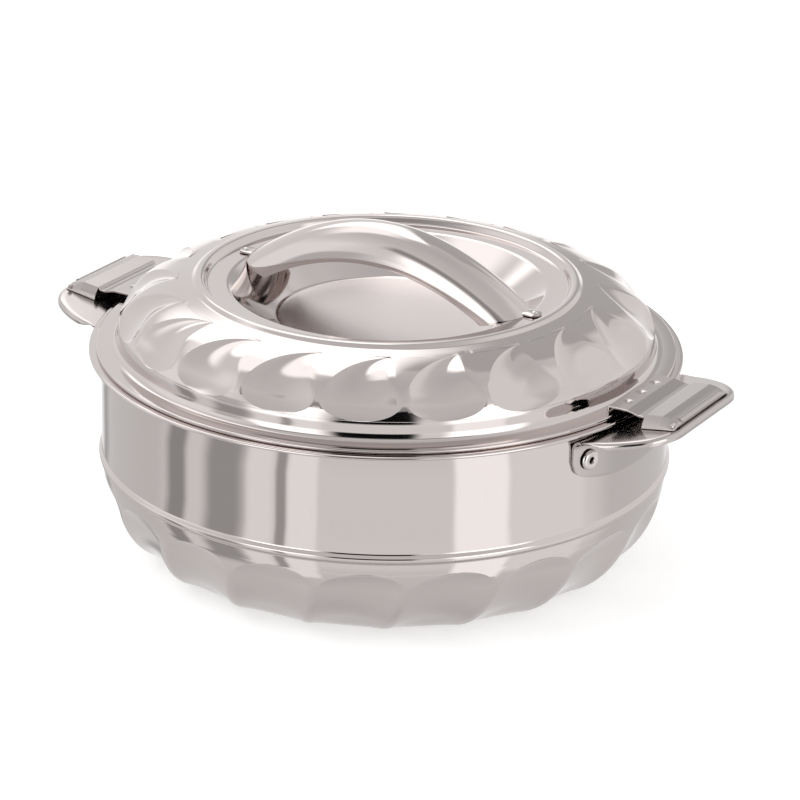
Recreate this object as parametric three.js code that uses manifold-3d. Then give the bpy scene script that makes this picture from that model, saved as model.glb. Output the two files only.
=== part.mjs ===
// Insulated chapati casserole: a double-walled steel bowl with a swirl-scooped lid,
// two side handles and a flip latch on each.
// Millimetres, +Z up. The origin is on the standing surface, under the middle of the bowl.

import * as THREE from 'three';
import * as BufferGeometryUtils from 'three/addons/utils/BufferGeometryUtils.js';
import Module from 'manifold-3d';

const wasm = await Module();
wasm.setup();

// Whole object
const rimRadius = 135;            // outside of the rolled rim
const bowlDepth = 78;             // bowl's flange to its floor inside
const bowlLift = 18.8;            // standing surface to the bowl's floor inside
const sheet = 0.6;                // drawn steel of shell, bowl and lid
const clearance = 0.3;            // between neighbouring pieces
const overrun = 5;                // how far a cutting body runs past what it cuts
const foamGap = 1.5;              // foam to the round walls inside it
const fluteCount = 20;            // scoops round the lid, and round the body
const lidTurnDegrees = -1.5;      // where the lid's first ridge stands, from the right handle
const bodyTurnDegrees = 0.35;     // the same for the body

// Rim
const seatDrop = 1.2;             // crest of the rim down to the bowl's flange
const rollWidth = 3.6;            // the rolled edge, inside to outside
const rollDepth = 3.6;            // crest of the roll to its underside
const tuckLength = 3;             // how far the roll is folded back under

// Outer shell
const wallInset = 6.2;            // outside of the rim in to the wall
const beadStand = 1.2;            // bead out of the wall
const beadDrop = 52.6;            // crest of the rim down to the bead
const beadHalfHeight = 1.5;
const lowerTopInset = 0.2;        // the wall in to where the lower bowl starts under the bead
const lowerTopDrop = 55.4;        // crest of the rim down to that start
const footRadiusShare = 0.7037;   // outer edge of the flat foot ring, of the rim's radius
const footWidth = 9;
const baseRise = 2.2;             // the base's middle stands this far off the table
const baseStepWidth = 4;
const bodyScoopDepth = 3.4;
const bodyTwistDegrees = -6;      // how far a scoop leans round on its way down
const fillHoleRadius = 8;

// Inner bowl
const mouthInset = 17.5;          // outside of the rim in to the bowl's mouth
const bowlTaper = 4;              // the bowl narrows this much down to its corner
const bowlCornerRadius = 22;
const mouthRounding = 1.5;        // where the bowl turns out into its flange

// Lid
const lidFlangeInset = 4.4;       // outside of the rim in to the lid's flange
const hemLength = 3;              // the outer skin folded under the inner one
const domeInset = 9.4;            // edge of the flange in to the widest part of the dome
const domeBaseRise = 3.2;         // flange up to where the dome is widest
const domeTopInset = 2;           // ring's crest in to where the dome would be level
const domeHeight = 23.2;          // from its widest part up to that level
const grooveWidth = 3;            // foot of the dome out to the flat flange
const lidScoopDepth = 3.2;
const lidScoopLeanShare = 0.08;   // a scoop's steep edge leans back this share of a pitch on its way in
const ringRadiusShare = 0.626;    // crest of the ring bead, of the rim's radius
const ringHeight = 1.6;           // crest above the dome's top
const ringHalfWidth = 3;
const ledgeWidth = 13;            // ring's crest in to the dish's upper edge
const ledgeDrop = 1.9;            // dome's top down to the ledge inside the ring
const dishWallWidth = 23;         // dish's upper edge in to its flat floor
const dishDepth = 15.5;           // ledge down to the floor
const dishRounding = 3;
const plugGap = 1.5;              // lid's plug to the bowl's mouth, all round
const plugDepth = 11;             // flange seat down to the plug's bottom
const plugCorner = 4;

// Lid handle
const archHalfWidth = 14.5;
const archCrown = 16;             // height of the half-round section
const archRise = 28.3;            // crown at the middle above the ledge
const archOverlap = 1.5;          // the crown meets the ledge this far outside the dish's edge
const archSheet = 0.9;
const archTabWidth = 9;
const archTabRoot = 7;            // where the crown meets the ledge in to the tab's root
const archTabReach = 5.3;         // and out to the tab's end
const archRivetReach = 2.6;       // and out to the rivet
const archRivetRadius = 1.2;
const archRivetHead = 2.2;
const archRivetHeadHeight = 0.8;

// Side handles
const handleSheet = 1.2;
const handleHalfAngleDegrees = 21;
const handleMiddleDrop = 30;    // crest of the rim down to the flange's lower edge, in the middle
const handleEndDrop = 23;         // the same at the flange's ends
const ledgeSlopeShare = 0.158;    // the ledge climbs this share of its way out
const ledgeRootDrop = 6;          // crest of the rim down to the ledge's top at the wall
const ledgeStand = 26.5;          // outside of the rim out to the ledge's straight edge
const ledgeEdgeHalf = 25;         // half of that straight edge
const ledgeLip = 3;               // depth of the edge that is turned down
const foldRadius = 4.2;           // underside where the ledge leaves the wall

// Rivets of the side handles
const rivetAngleDegrees = 16.9;
const rivetDrop = 18;           // crest of the rim down to the rivet
const rivetShank = 2.4;
const rivetHead = 4.75;
const rivetHeadHeight = 1.8;
const rivetBoreRadius = 1.45;     // hole left by the drawn pin
const rivetTail = 3.6;
const rivetTailLength = 2.4;
const washerRadius = 6;
const washerSheet = 1;

// Latches
const latchSheet = 0.8;
const lipHold = 6;                // the lip reaches this far in over the lid's flange
const lipInset = 0.8;             // outside of the rim in to where the lip bends down
const pipDepth = 0.4;             // three pips pressed down from the lip
const pipRadius = 2.3;
const pipSpacing = 13;
const valleyStand = 5.2;          // outside of the rim out to the valley
const valleyDrop = 2.5;           // lip's top down to the valley's
const coverStand = 7.8;           // outside of the rim out to the raised cover
const coverInnerRise = 0.3;       // cover's inner edge above the valley
const coverOuterRise = 1.7;
const coverEdgeInset = 2.4;       // hinge pin in to the cover's outer edge
const latchHalfWidth = 22.5;
const latchEndSlope = 3.5;        // the cover's ends lean out this far at their feet
const pinInset = 4.4;             // ledge's straight edge in to the hinge pin
const pinLift = 2;                // ledge up to the pin's axis
const pinRadius = 0.9;
const pinPlay = 0.1;
const pinOverhang = 0.8;          // the pin stands out of the knuckles at each end
const knuckleWall = 0.65;
const knuckleWidth = 3.4;

// Plug in the base
const plugHeadOverlap = 2.5;      // head outside the hole's edge
const plugHeadHeight = 1.2;
const plugStemHeight = 3;

// Derived places
const rimHeight = bowlLift + bowlDepth + seatDrop;
const wallRadius = rimRadius - wallInset;
const beadRadius = wallRadius + beadStand;
const lowerTopRadius = wallRadius - lowerTopInset;
const footRadius = rimRadius * footRadiusShare;
const mouthRadius = rimRadius - mouthInset;
const lidFlangeRadius = rimRadius - lidFlangeInset;
const domeRadius = lidFlangeRadius - domeInset;
const ringRadius = rimRadius * ringRadiusShare;
const domeTopRadius = ringRadius - domeTopInset;
const ledgeInnerRadius = ringRadius - ledgeWidth;
const dishRadius = ledgeInnerRadius - dishWallWidth;
const seatHeight = rimHeight - seatDrop;
const hemBottom = seatHeight + clearance;
const innerFlangeBottom = hemBottom + sheet + clearance;
const outerFlangeBottom = innerFlangeBottom + sheet + clearance;
const lidFlangeTop = outerFlangeBottom + sheet;
const domeBase = lidFlangeTop + domeBaseRise;
const domeTop = domeBase + domeHeight;
const ledgeTop = domeTop - ledgeDrop;
const dishFloor = ledgeTop - dishDepth;
const plugRadius = mouthRadius - plugGap;
const plugBottom = seatHeight - plugDepth;
const bowlFloor = bowlLift;
const shellFlangeBottom = rimHeight - rollDepth + sheet + clearance;
const rollInner = rimRadius - rollWidth;
const lowerTop = rimHeight - lowerTopDrop;
const archReach = ledgeInnerRadius + archOverlap;
const archTabInner = archReach - archTabRoot;
const archTabOuter = archReach + archTabReach;
const archRivetPlace = archReach + archRivetReach;
const handleHalfAngle = THREE.MathUtils.degToRad(handleHalfAngleDegrees);
const rivetAngle = THREE.MathUtils.degToRad(rivetAngleDegrees);
const handleInner = wallRadius + clearance;
const handleOuter = handleInner + handleSheet;
const ledgeRootTop = rimHeight - ledgeRootDrop;
const ledgeReach = rimRadius + ledgeStand;
const pinPlace = ledgeReach - pinInset;
const pinHeight = ledgeHeightAt(pinPlace) + pinLift;
const knuckleRadius = pinRadius + pinPlay + knuckleWall;
const lipInner = lidFlangeRadius - lipHold;
const lipOuter = rimRadius - lipInset;
const lipTop = lidFlangeTop + clearance + pipDepth + latchSheet;
const valleyPlace = rimRadius + valleyStand;
const valleyTop = lipTop - valleyDrop;
const coverInner = rimRadius + coverStand;
const coverOuter = pinPlace - coverEdgeInset;
const coverInnerHeight = valleyTop + coverInnerRise;
const coverOuterHeight = valleyTop + coverOuterRise;
const plugHeadRadius = fillHoleRadius + plugHeadOverlap;

function ledgeHeightAt(x) {
  return ledgeRootTop + (x - handleOuter) * ledgeSlopeShare;
}

// Geometry helpers

function circleRing(radius, height, count, turn = 0) {
  const ring = [];
  for (let k = 0; k < count; k += 1) {
    const angle = turn + (k / count) * 2 * Math.PI;
    ring.push(new THREE.Vector3(radius * Math.cos(angle), radius * Math.sin(angle), height));
  }
  return ring;
}

// A closed skin through rings of points. Neighbouring rings have the same count, or one has
// twice the other's, or one is a single point.
function skinRings(rings, closed) {
  const positions = [];
  const starts = [];
  for (const ring of rings) {
    starts.push(positions.length / 3);
    for (const point of ring) {
      positions.push(point.x, point.y, point.z);
    }
  }
  const triangles = [];
  const last = closed ? rings.length : rings.length - 1;
  for (let i = 0; i < last; i += 1) {
    const j = (i + 1) % rings.length;
    bridgeRings(triangles, starts[i], rings[i].length, starts[j], rings[j].length);
  }
  if (!closed) {
    capRing(triangles, positions, starts[0], rings[0], false);
    capRing(triangles, positions, starts[rings.length - 1], rings[rings.length - 1], true);
  }
  const geometry = new THREE.BufferGeometry();
  geometry.setAttribute('position', new THREE.Float32BufferAttribute(positions, 3));
  geometry.setIndex(triangles);
  return facedOutwards(geometry);
}

function bridgeRings(triangles, startA, countA, startB, countB) {
  const count = Math.max(countA, countB);
  for (let k = 0; k < count; k += 1) {
    const a = startA + Math.floor((k * countA) / count);
    const aNext = startA + (Math.floor(((k + 1) * countA) / count) % countA);
    const b = startB + Math.floor((k * countB) / count);
    const bNext = startB + (Math.floor(((k + 1) * countB) / count) % countB);
    if (a !== aNext) {
      triangles.push(a, aNext, b);
    }
    if (b !== bNext) {
      triangles.push(aNext, bNext, b);
    }
  }
}

function capRing(triangles, positions, start, ring, atEnd) {
  if (ring.length < 3) {
    return;
  }
  const middle = new THREE.Vector3();
  ring.forEach((point) => middle.addScaledVector(point, 1 / ring.length));
  const centre = positions.length / 3;
  positions.push(middle.x, middle.y, middle.z);
  for (let k = 0; k < ring.length; k += 1) {
    const next = (k + 1) % ring.length;
    if (atEnd) {
      triangles.push(start + k, start + next, centre);
    } else {
      triangles.push(start + next, start + k, centre);
    }
  }
}

function facedOutwards(geometry) {
  const place = geometry.getAttribute('position');
  const index = geometry.getIndex();
  const [a, b, c] = [new THREE.Vector3(), new THREE.Vector3(), new THREE.Vector3()];
  let volume = 0;
  for (let i = 0; i < index.count; i += 3) {
    a.fromBufferAttribute(place, index.getX(i));
    b.fromBufferAttribute(place, index.getX(i + 1));
    c.fromBufferAttribute(place, index.getX(i + 2));
    volume += a.dot(b.cross(c));
  }
  if (volume < 0) {
    const turned = Array.from(index.array);
    for (let i = 0; i < turned.length; i += 3) {
      [turned[i + 1], turned[i + 2]] = [turned[i + 2], turned[i + 1]];
    }
    geometry.setIndex(turned);
  }
  return geometry;
}

function solidOf(geometry) {
  const bare = geometry.clone();
  bare.deleteAttribute('normal');
  bare.deleteAttribute('uv');
  const merged = BufferGeometryUtils.mergeVertices(bare);
  return new wasm.Manifold(new wasm.Mesh({
    numProp: 3,
    vertProperties: new Float32Array(merged.getAttribute('position').array),
    triVerts: new Uint32Array(merged.getIndex().array),
  }));
}

function geometryOf(solid) {
  const mesh = solid.getMesh();
  const geometry = new THREE.BufferGeometry();
  geometry.setAttribute('position', new THREE.BufferAttribute(mesh.vertProperties, 3));
  geometry.setIndex(new THREE.BufferAttribute(mesh.triVerts, 1));
  return geometry;
}

function joined(...geometries) {
  return geometries.map(solidOf).reduce((sum, solid) => sum.add(solid));
}

// A ring-shaped or full body turned from [radius, height] points that close on themselves.
function turnedLoop(points, count, turn = 0) {
  return skinRings(points.map(([radius, height]) => circleRing(radius, height, count, turn)), true);
}

// A body turned from points that start and end on the axis.
function turnedBody(points, count) {
  const rings = points.map(([radius, height]) => (
    radius === 0 ? [new THREE.Vector3(0, 0, height)] : circleRing(radius, height, count)));
  return skinRings(rings, false);
}

function movedTo(geometry, x, y, z) {
  return geometry.translate(x, y, z);
}

// A cylinder along X whose inner end is at the given place.
function rodAlongX(radius, from, to, count) {
  const rod = new THREE.CylinderGeometry(radius, radius, to - from, count);
  return movedTo(rod.rotateZ(Math.PI / 2), (from + to) / 2, 0, 0);
}

function rodAlongY(radius, halfLength, count) {
  return new THREE.CylinderGeometry(radius, radius, 2 * halfLength, count);
}

// An outline in the X-Z plane, drawn out along Y to both sides of the middle.
function drawnAlongY(points, halfWidth) {
  const outline = new THREE.Shape(points.map(([x, z]) => new THREE.Vector2(x, z)));
  const body = new THREE.ExtrudeGeometry(outline, { depth: 2 * halfWidth, bevelEnabled: false });
  return movedTo(body.rotateX(Math.PI / 2), 0, halfWidth, 0);
}

// Scooped skins

// Where the points of a ring stand across one scoop, as shares of the scoop's width.
const columnShares = [0, 1 / 3, 2 / 3, 1];
const columnCount = fluteCount * columnShares.length;

const landShare = 0.02;           // of a pitch, left plain on each side of a scoop
const leastShare = 0.02;

// Share of its full width that a scoop has at an angle on the skin. It is rounded out from its
// start to where it is widest, and in from there to its tip.
function scoopWidthShare(form, degrees) {
  const end = degrees < form.wideDegrees ? form.startDegrees : form.tipDegrees;
  const back = (form.wideDegrees - degrees) / (form.wideDegrees - end);
  return Math.sqrt(Math.max(1 - back ** 2, leastShare));
}

// A scoop is deepest where it is widest, and runs out into the plain skin at its inner end.
function scoopDepthShare(form, degrees) {
  const fade = THREE.MathUtils.smoothstep(degrees, form.fadeDegrees, form.endDegrees);
  return scoopWidthShare(form, degrees) ** 2 * (1 - fade);
}

// One ring of a scooped skin, as ellipseRows gives it.
function scoopedRing(row, style) {
  const pitch = (2 * Math.PI) / fluteCount;
  const ring = [];
  for (let flute = 0; flute < fluteCount; flute += 1) {
    for (const column of columnShares) {
      const angle = THREE.MathUtils.degToRad(style.turnDegrees) + row.twist
        + (flute + row.edgeShare + (column - 1) * row.widthShare) * pitch;
      const hollow = style.depth * row.depthShare * 4 * column * (1 - column);
      const radius = row.radius - hollow * row.normal.x;
      const height = row.height - hollow * row.normal.y;
      ring.push(new THREE.Vector3(radius * Math.cos(angle), radius * Math.sin(angle), height));
    }
  }
  return ring;
}

// A quarter of an ellipse as rows for scoopedRing: radius, height, outward normal, the scoop's
// twist in radians, its width and its far edge as shares of a pitch, and its share of full depth.
// rise is 1 for a dome, -1 for a bowl.
function ellipseRows(form, inset) {
  return form.rowDegrees.map((degrees) => {
    const angle = THREE.MathUtils.degToRad(degrees);
    const across = form.acrossRadius;
    const up = form.upRadius * form.rise;
    const normal = new THREE.Vector2(Math.cos(angle) / across, Math.sin(angle) / up).normalize();
    const first = form.rowDegrees[0];
    const along = (degrees - first) / (form.endDegrees - first);
    const inwards = Math.max((degrees - form.wideDegrees) / (form.tipDegrees - form.wideDegrees), 0);
    const widthShare = (1 - 2 * landShare) * scoopWidthShare(form, degrees);
    const edgeShare = inwards > 0 ? 1 - landShare - form.leanShare * Math.min(inwards, 1) : (1 + widthShare) / 2;
    return {
      radius: form.middleRadius + across * Math.cos(angle) - inset * normal.x,
      height: form.middleHeight + up * Math.sin(angle) - inset * normal.y,
      normal,
      twist: THREE.MathUtils.degToRad(form.twistDegrees) * along,
      widthShare,
      edgeShare,
      depthShare: scoopDepthShare(form, degrees),
    };
  });
}

const lidForm = {
  middleRadius: domeTopRadius,
  middleHeight: domeBase,
  acrossRadius: domeRadius - domeTopRadius,
  upRadius: domeHeight,
  rise: 1,
  startDegrees: 7,
  wideDegrees: 25,
  tipDegrees: 70.5,
  fadeDegrees: 70,
  endDegrees: 76,
  rowDegrees: [9, 16, 27, 43, 60, 76],
  leanShare: lidScoopLeanShare,
  twistDegrees: 0,
};
const lidScoop = { turnDegrees: lidTurnDegrees, depth: lidScoopDepth };

const bodyForm = {
  middleRadius: footRadius,
  middleHeight: lowerTop,
  acrossRadius: lowerTopRadius - footRadius,
  upRadius: lowerTop,
  rise: -1,
  startDegrees: 6,
  wideDegrees: 18,
  tipDegrees: Infinity,             // full width all the way to the foot
  fadeDegrees: 52,
  endDegrees: 82,
  rowDegrees: [7, 11, 18, 36, 58, 82],
  leanShare: 0,
  twistDegrees: bodyTwistDegrees,
};
const bodyScoop = { turnDegrees: bodyTurnDegrees, depth: bodyScoopDepth };

const roundCount = columnCount / 2;
const foamCount = roundCount / 2;

function plainRing(radius, height) {
  return circleRing(radius, height, roundCount);
}

// Outer shell

function makeOuterShell() {
  const top = shellFlangeBottom + sheet;
  const flangeRadius = rimRadius - sheet - clearance;
  const bead = rimHeight - beadDrop;
  const inner = wallRadius - sheet;
  const outside = [
    plainRing(flangeRadius, top),
    plainRing(flangeRadius, shellFlangeBottom),
    plainRing(wallRadius + sheet, shellFlangeBottom),
    plainRing(wallRadius, shellFlangeBottom - sheet),
    plainRing(wallRadius, bead + 2 * beadHalfHeight),
    plainRing(beadRadius, bead + beadHalfHeight),
    plainRing(beadRadius, bead - beadHalfHeight / 2),
    plainRing(lowerTopRadius, lowerTop),
    ...ellipseRows(bodyForm, 0).map((row) => scoopedRing(row, bodyScoop)),
    plainRing(footRadius, 0),
    plainRing(footRadius - footWidth, 0),
    plainRing(footRadius - footWidth - baseStepWidth, baseRise),
    circleRing(fillHoleRadius, baseRise, roundCount / 2),
    circleRing(fillHoleRadius, baseRise + sheet, roundCount / 2),
    plainRing(footRadius - footWidth - baseStepWidth, baseRise + sheet),
    plainRing(footRadius - footWidth, sheet),
    plainRing(footRadius, sheet),
    ...ellipseRows(bodyForm, sheet).reverse().map((row) => scoopedRing(row, bodyScoop)),
    plainRing(lowerTopRadius - sheet, lowerTop),
    plainRing(beadRadius - sheet, bead + beadHalfHeight / 2),
    plainRing(inner, bead + 2 * beadHalfHeight),
    plainRing(inner, top),
  ];
  let shell = solidOf(skinRings(outside, true));
  for (const { angle } of rivetPlaces) {
    const hole = rodAlongX(rivetShank + clearance, inner - overrun, rimRadius, 10);
    shell = shell.subtract(solidOf(atRivet(hole, angle)));
  }
  return geometryOf(shell);
}

// The four rivets of the two side handles: a piece made at the angle 0 is turned to its place.
const rivetPlaces = [
  { name: 'right_front', angle: -rivetAngle },
  { name: 'right_back', angle: rivetAngle },
  { name: 'left_back', angle: Math.PI - rivetAngle },
  { name: 'left_front', angle: Math.PI + rivetAngle },
];

function atRivet(geometry, angle) {
  return movedTo(geometry, 0, 0, rimHeight - rivetDrop).rotateZ(angle);
}

// Inner bowl with the rim rolled over the shell's flange

function makeInnerBowl() {
  const outerX = rimRadius;
  const bottom = rimHeight - rollDepth;
  const corner = bowlCornerRadius;
  const wallFoot = mouthRadius - bowlTaper;
  const cornerPoints = (radius, from, to) => [0, 1, 2, 3].map((step) => {
    const angle = THREE.MathUtils.degToRad(from + ((to - from) * step) / 3);
    return [wallFoot - corner + radius * Math.cos(angle), bowlFloor + corner + radius * Math.sin(angle)];
  });
  const points = [
    [0, bowlFloor],
    ...cornerPoints(corner, -90, 0),
    [mouthRadius, seatHeight - mouthRounding],
    [mouthRadius + mouthRounding, seatHeight],
    [rollInner - sheet, seatHeight],
    [rollInner, rimHeight - sheet],
    [rollInner + rollWidth / 3, rimHeight],
    [outerX - rollWidth / 4, rimHeight - sheet / 2],
    [outerX, rimHeight - 2 * sheet],
    [outerX, bottom + sheet],
    [outerX - sheet, bottom],
    [outerX - tuckLength, bottom],
    [outerX - tuckLength, bottom + sheet],
    [outerX - 2 * sheet, bottom + sheet],
    [outerX - sheet, bottom + 2 * sheet],
    [outerX - sheet, rimHeight - 3 * sheet],
    [outerX - rollWidth / 3, rimHeight - 2 * sheet],
    [rollInner + rollWidth / 3, rimHeight - 2 * sheet],
    [rollInner, seatHeight - sheet],
    [mouthRadius + mouthRounding + sheet, seatHeight - sheet],
    [mouthRadius + sheet, seatHeight - mouthRounding - sheet],
    ...cornerPoints(corner + sheet, 0, -90),
    [0, bowlFloor - sheet],
  ];
  return turnedBody(points, roundCount);
}

// Foam in the body

function makeBodyInsulation() {
  const bowlOuter = mouthRadius + sheet + foamGap;
  const wallInner = wallRadius - sheet - clearance;
  const top = seatHeight - mouthRounding - sheet - clearance;
  const floor = baseRise + sheet + clearance;
  const inset = bodyScoopDepth + sheet + foamGap;
  const corner = bowlCornerRadius + sheet + foamGap;
  const wallFoot = mouthRadius - bowlTaper - bowlCornerRadius;
  const cornerPoints = [0, 1, 2, 3].map((step) => {
    const angle = (-Math.PI / 2) * (1 - step / 3);
    return [wallFoot + corner * Math.cos(angle), bowlFloor + bowlCornerRadius + corner * Math.sin(angle)];
  });
  const points = [
    [0, bowlFloor - sheet - foamGap],
    ...cornerPoints,
    [bowlOuter, seatHeight - mouthRounding - overrun],
    [bowlOuter, top],
    [wallInner, top],
    [wallInner, lowerTop],
    ...ellipseRows(bodyForm, inset).slice(1, -1).map((row) => [row.radius, row.height]),
    [footRadius - inset, floor],
    [0, floor],
  ];
  let foam = solidOf(turnedBody(points, foamCount));
  for (const { angle } of rivetPlaces) {
    const pocket = rodAlongX(washerRadius + 2 * clearance, tailEnd - clearance, rimRadius, 10);
    foam = foam.subtract(solidOf(atRivet(pocket, angle)));
  }
  const stemPocket = movedTo(new THREE.CylinderGeometry(
    fillHoleRadius + clearance, fillHoleRadius + clearance, 2 * (plugStemHeight + overrun), 16,
  ).rotateX(Math.PI / 2), 0, 0, 0);
  return geometryOf(foam.subtract(solidOf(stemPocket)));
}

function makeFillPlug() {
  const top = baseRise + sheet + plugStemHeight;
  const headTop = baseRise - clearance;
  const stem = fillHoleRadius - clearance;
  return turnedBody([
    [0, headTop - plugHeadHeight],
    [plugHeadRadius - clearance, headTop - plugHeadHeight],
    [plugHeadRadius, headTop - plugHeadHeight / 2],
    [plugHeadRadius, headTop],
    [stem, headTop],
    [stem, top - clearance],
    [stem - clearance, top],
    [0, top],
  ], 16);
}

// Side handle: a flange on the wall and a ledge with its edge turned down

const washerOuter = wallRadius - sheet - 2 * clearance;
const washerInner = washerOuter - washerSheet;
const tailStart = washerInner - clearance;
const tailEnd = tailStart - rivetTailLength;

// Outline of the ledge in plan: a straight outer edge, rounded corners, and sides that sweep
// out to the wall. The shares are of the ledge's reach, and of how far its sides spread.
const cornerShare = 0.12;
const cornerSpreadShare = 0.28;
const sweepShare = 0.45;
const sweepSpreadShare = 0.8;

function ledgeOutline(inset) {
  const rootX = wallRadius * Math.cos(handleHalfAngle);
  const rootY = handleOuter * Math.sin(handleHalfAngle) - inset;
  const reach = ledgeReach - inset;
  const span = reach - rootX;
  const half = ledgeEdgeHalf - inset / 2;
  const spread = rootY - half;
  const cornerX = reach - span * cornerShare;
  const cornerY = half + spread * cornerSpreadShare;
  const sweepX = reach - span * sweepShare;
  const sweepY = half + spread * sweepSpreadShare;
  const cornerEnd = half + spread * cornerShare;
  const outline = new THREE.Shape();
  outline.moveTo(rootX - overrun, -rootY);
  outline.lineTo(rootX, -rootY);
  outline.quadraticCurveTo(sweepX, -sweepY, cornerX, -cornerY);
  outline.quadraticCurveTo(reach, -cornerEnd, reach, -half);
  outline.lineTo(reach, half);
  outline.quadraticCurveTo(reach, cornerEnd, cornerX, cornerY);
  outline.quadraticCurveTo(sweepX, sweepY, rootX, rootY);
  outline.lineTo(rootX - overrun, rootY);
  outline.closePath();
  return outline;
}

// A flat plate laid along the ledge's slope.
function ledgePlate(outline, top, depth) {
  const plate = new THREE.ExtrudeGeometry(outline, { depth, bevelEnabled: false, curveSegments: 3 });
  const place = plate.getAttribute('position');
  for (let i = 0; i < place.count; i += 1) {
    place.setZ(i, place.getZ(i) + ledgeHeightAt(place.getX(i)) + top - depth);
  }
  return plate;
}

function wallFlange() {
  const steps = 8;
  const rings = [];
  for (let k = 0; k <= steps; k += 1) {
    const share = (2 * k) / steps - 1;
    const angle = share * handleHalfAngle;
    const top = ledgeHeightAt(handleOuter * Math.cos(angle));
    const foldFoot = top - foldRadius;
    const bottom = rimHeight - handleMiddleDrop + (handleMiddleDrop - handleEndDrop) * Math.abs(share) ** 3;
    const section = [
      [handleInner, bottom],
      [handleOuter, bottom],
      [handleOuter, foldFoot],
      [handleOuter + foldRadius / 3, top - foldRadius / 3 - handleSheet],
      [handleOuter + foldRadius, top - handleSheet],
      [handleOuter + foldRadius, top],
      [handleInner, top],
      [handleInner, foldFoot],
    ];
    rings.push(section.map(([radius, height]) => (
      new THREE.Vector3(radius * Math.cos(angle), radius * Math.sin(angle), height))));
  }
  return skinRings(rings, false);
}

function knuckle(middleY) {
  const lug = movedTo(rodAlongY(knuckleRadius, knuckleWidth / 2, 12), pinPlace, middleY, pinHeight);
  const foot = new THREE.BoxGeometry(2 * knuckleRadius, knuckleWidth, pinLift + handleSheet / 2);
  movedTo(foot, pinPlace, middleY, pinHeight - (pinLift + handleSheet / 2) / 2);
  return joined(lug, foot);
}

const knuckleMiddle = latchHalfWidth + clearance - knuckleWidth / 2;

function makeHandle(side) {
  let handle = solidOf(ledgePlate(ledgeOutline(0), 0, handleSheet));
  const skirt = solidOf(ledgePlate(ledgeOutline(0), 0, ledgeLip))
    .subtract(solidOf(ledgePlate(ledgeOutline(handleSheet), overrun, ledgeLip + 2 * overrun)));
  const wall = solidOf(movedTo(new THREE.CylinderGeometry(
    handleInner, handleInner, 2 * rimHeight, 80,
  ).rotateX(Math.PI / 2), 0, 0, rimHeight));
  handle = handle.add(skirt).subtract(wall).add(solidOf(wallFlange()));
  for (const middleY of [-knuckleMiddle, knuckleMiddle]) {
    handle = handle.add(knuckle(middleY));
  }
  const pinHole = movedTo(rodAlongY(pinRadius + pinPlay, latchHalfWidth + overrun, 12), pinPlace, 0, pinHeight);
  handle = handle.subtract(solidOf(pinHole));
  for (const angle of [-rivetAngle, rivetAngle]) {
    const hole = rodAlongX(rivetShank + clearance, tailEnd, rimRadius, 10);
    handle = handle.subtract(solidOf(atRivet(hole, angle)));
  }
  return geometryOf(handle).rotateZ(side);
}

// Blind rivets and washers

function makeHandleRivet() {
  const headFoot = handleOuter + clearance;
  const points = [
    [0, tailEnd],
    [rivetTail - clearance, tailEnd],
    [rivetTail, tailEnd + clearance],
    [rivetTail, tailStart],
    [rivetShank, tailStart],
    [rivetShank, headFoot],
    [rivetHead, headFoot],
    [rivetHead, headFoot + rivetHeadHeight / 3],
    [(rivetHead + rivetBoreRadius) / 2, headFoot + rivetHeadHeight],
    [rivetBoreRadius, headFoot + rivetHeadHeight],
    [rivetBoreRadius, headFoot],
    [0, headFoot],
  ];
  return turnedBody(points, 10).rotateY(Math.PI / 2);
}

function makeWasher() {
  return turnedLoop([
    [rivetShank + clearance, washerInner],
    [washerRadius, washerInner],
    [washerRadius, washerOuter],
    [rivetShank + clearance, washerOuter],
  ], 10).rotateY(Math.PI / 2);
}

// Latch: a lip over the lid's flange, a valley, a raised cover and a barrel round the pin

// Where the cover's outer slope meets the barrel, as shares of the barrel's radius.
const slopeFootShare = 0.8;
const slopeFootHeightShare = 0.6;
const slopeFootX = pinPlace + knuckleRadius * slopeFootShare;
const slopeFootHeight = pinHeight + knuckleRadius * slopeFootHeightShare;

function latchProfile() {
  const top = [
    [lipInner, lipTop],
    [lipOuter, lipTop],
    [valleyPlace - latchSheet, valleyTop],
    [valleyPlace, valleyTop],
    [coverInner, coverInnerHeight + latchSheet],
    [coverOuter, coverOuterHeight + latchSheet / 2],
    [slopeFootX, slopeFootHeight],
  ];
  const under = [
    [slopeFootX - latchSheet - latchSheet / 3, slopeFootHeight - latchSheet / 4],
    [coverOuter - latchSheet / 2, coverOuterHeight - latchSheet / 2],
    [coverInner + latchSheet / 3, coverInnerHeight],
    [valleyPlace + latchSheet / 3, valleyTop - latchSheet],
    [valleyPlace - latchSheet - latchSheet / 4, valleyTop - latchSheet],
    [lipOuter - latchSheet / 3, lipTop - latchSheet],
    [lipInner, lipTop - latchSheet],
  ];
  return [...top, ...under];
}

// A sloping end wall of the cover. way is 1 or -1 along Y. Each point of the face has a lean:
// 1 at the foot, 0 at the cover's top.
function latchEnd(way) {
  const foot = (x) => ledgeHeightAt(x) + clearance;
  const face = [
    [coverInner - latchSheet, foot(coverInner), 1],
    [pinPlace, foot(pinPlace), 1],
    [slopeFootX, pinHeight, slopeFootShare],
    [coverOuter, coverOuterHeight + latchSheet / 4, 0],
    [coverInner, coverInnerHeight + latchSheet / 2, 0],
  ];
  const outer = face.map(([x, z, lean]) => (
    new THREE.Vector3(x, way * (latchHalfWidth + lean * latchEndSlope), z)));
  const inner = outer.map((point) => (
    new THREE.Vector3(point.x, point.y - way * latchSheet, point.z)));
  return skinRings([outer, inner], false);
}

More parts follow.
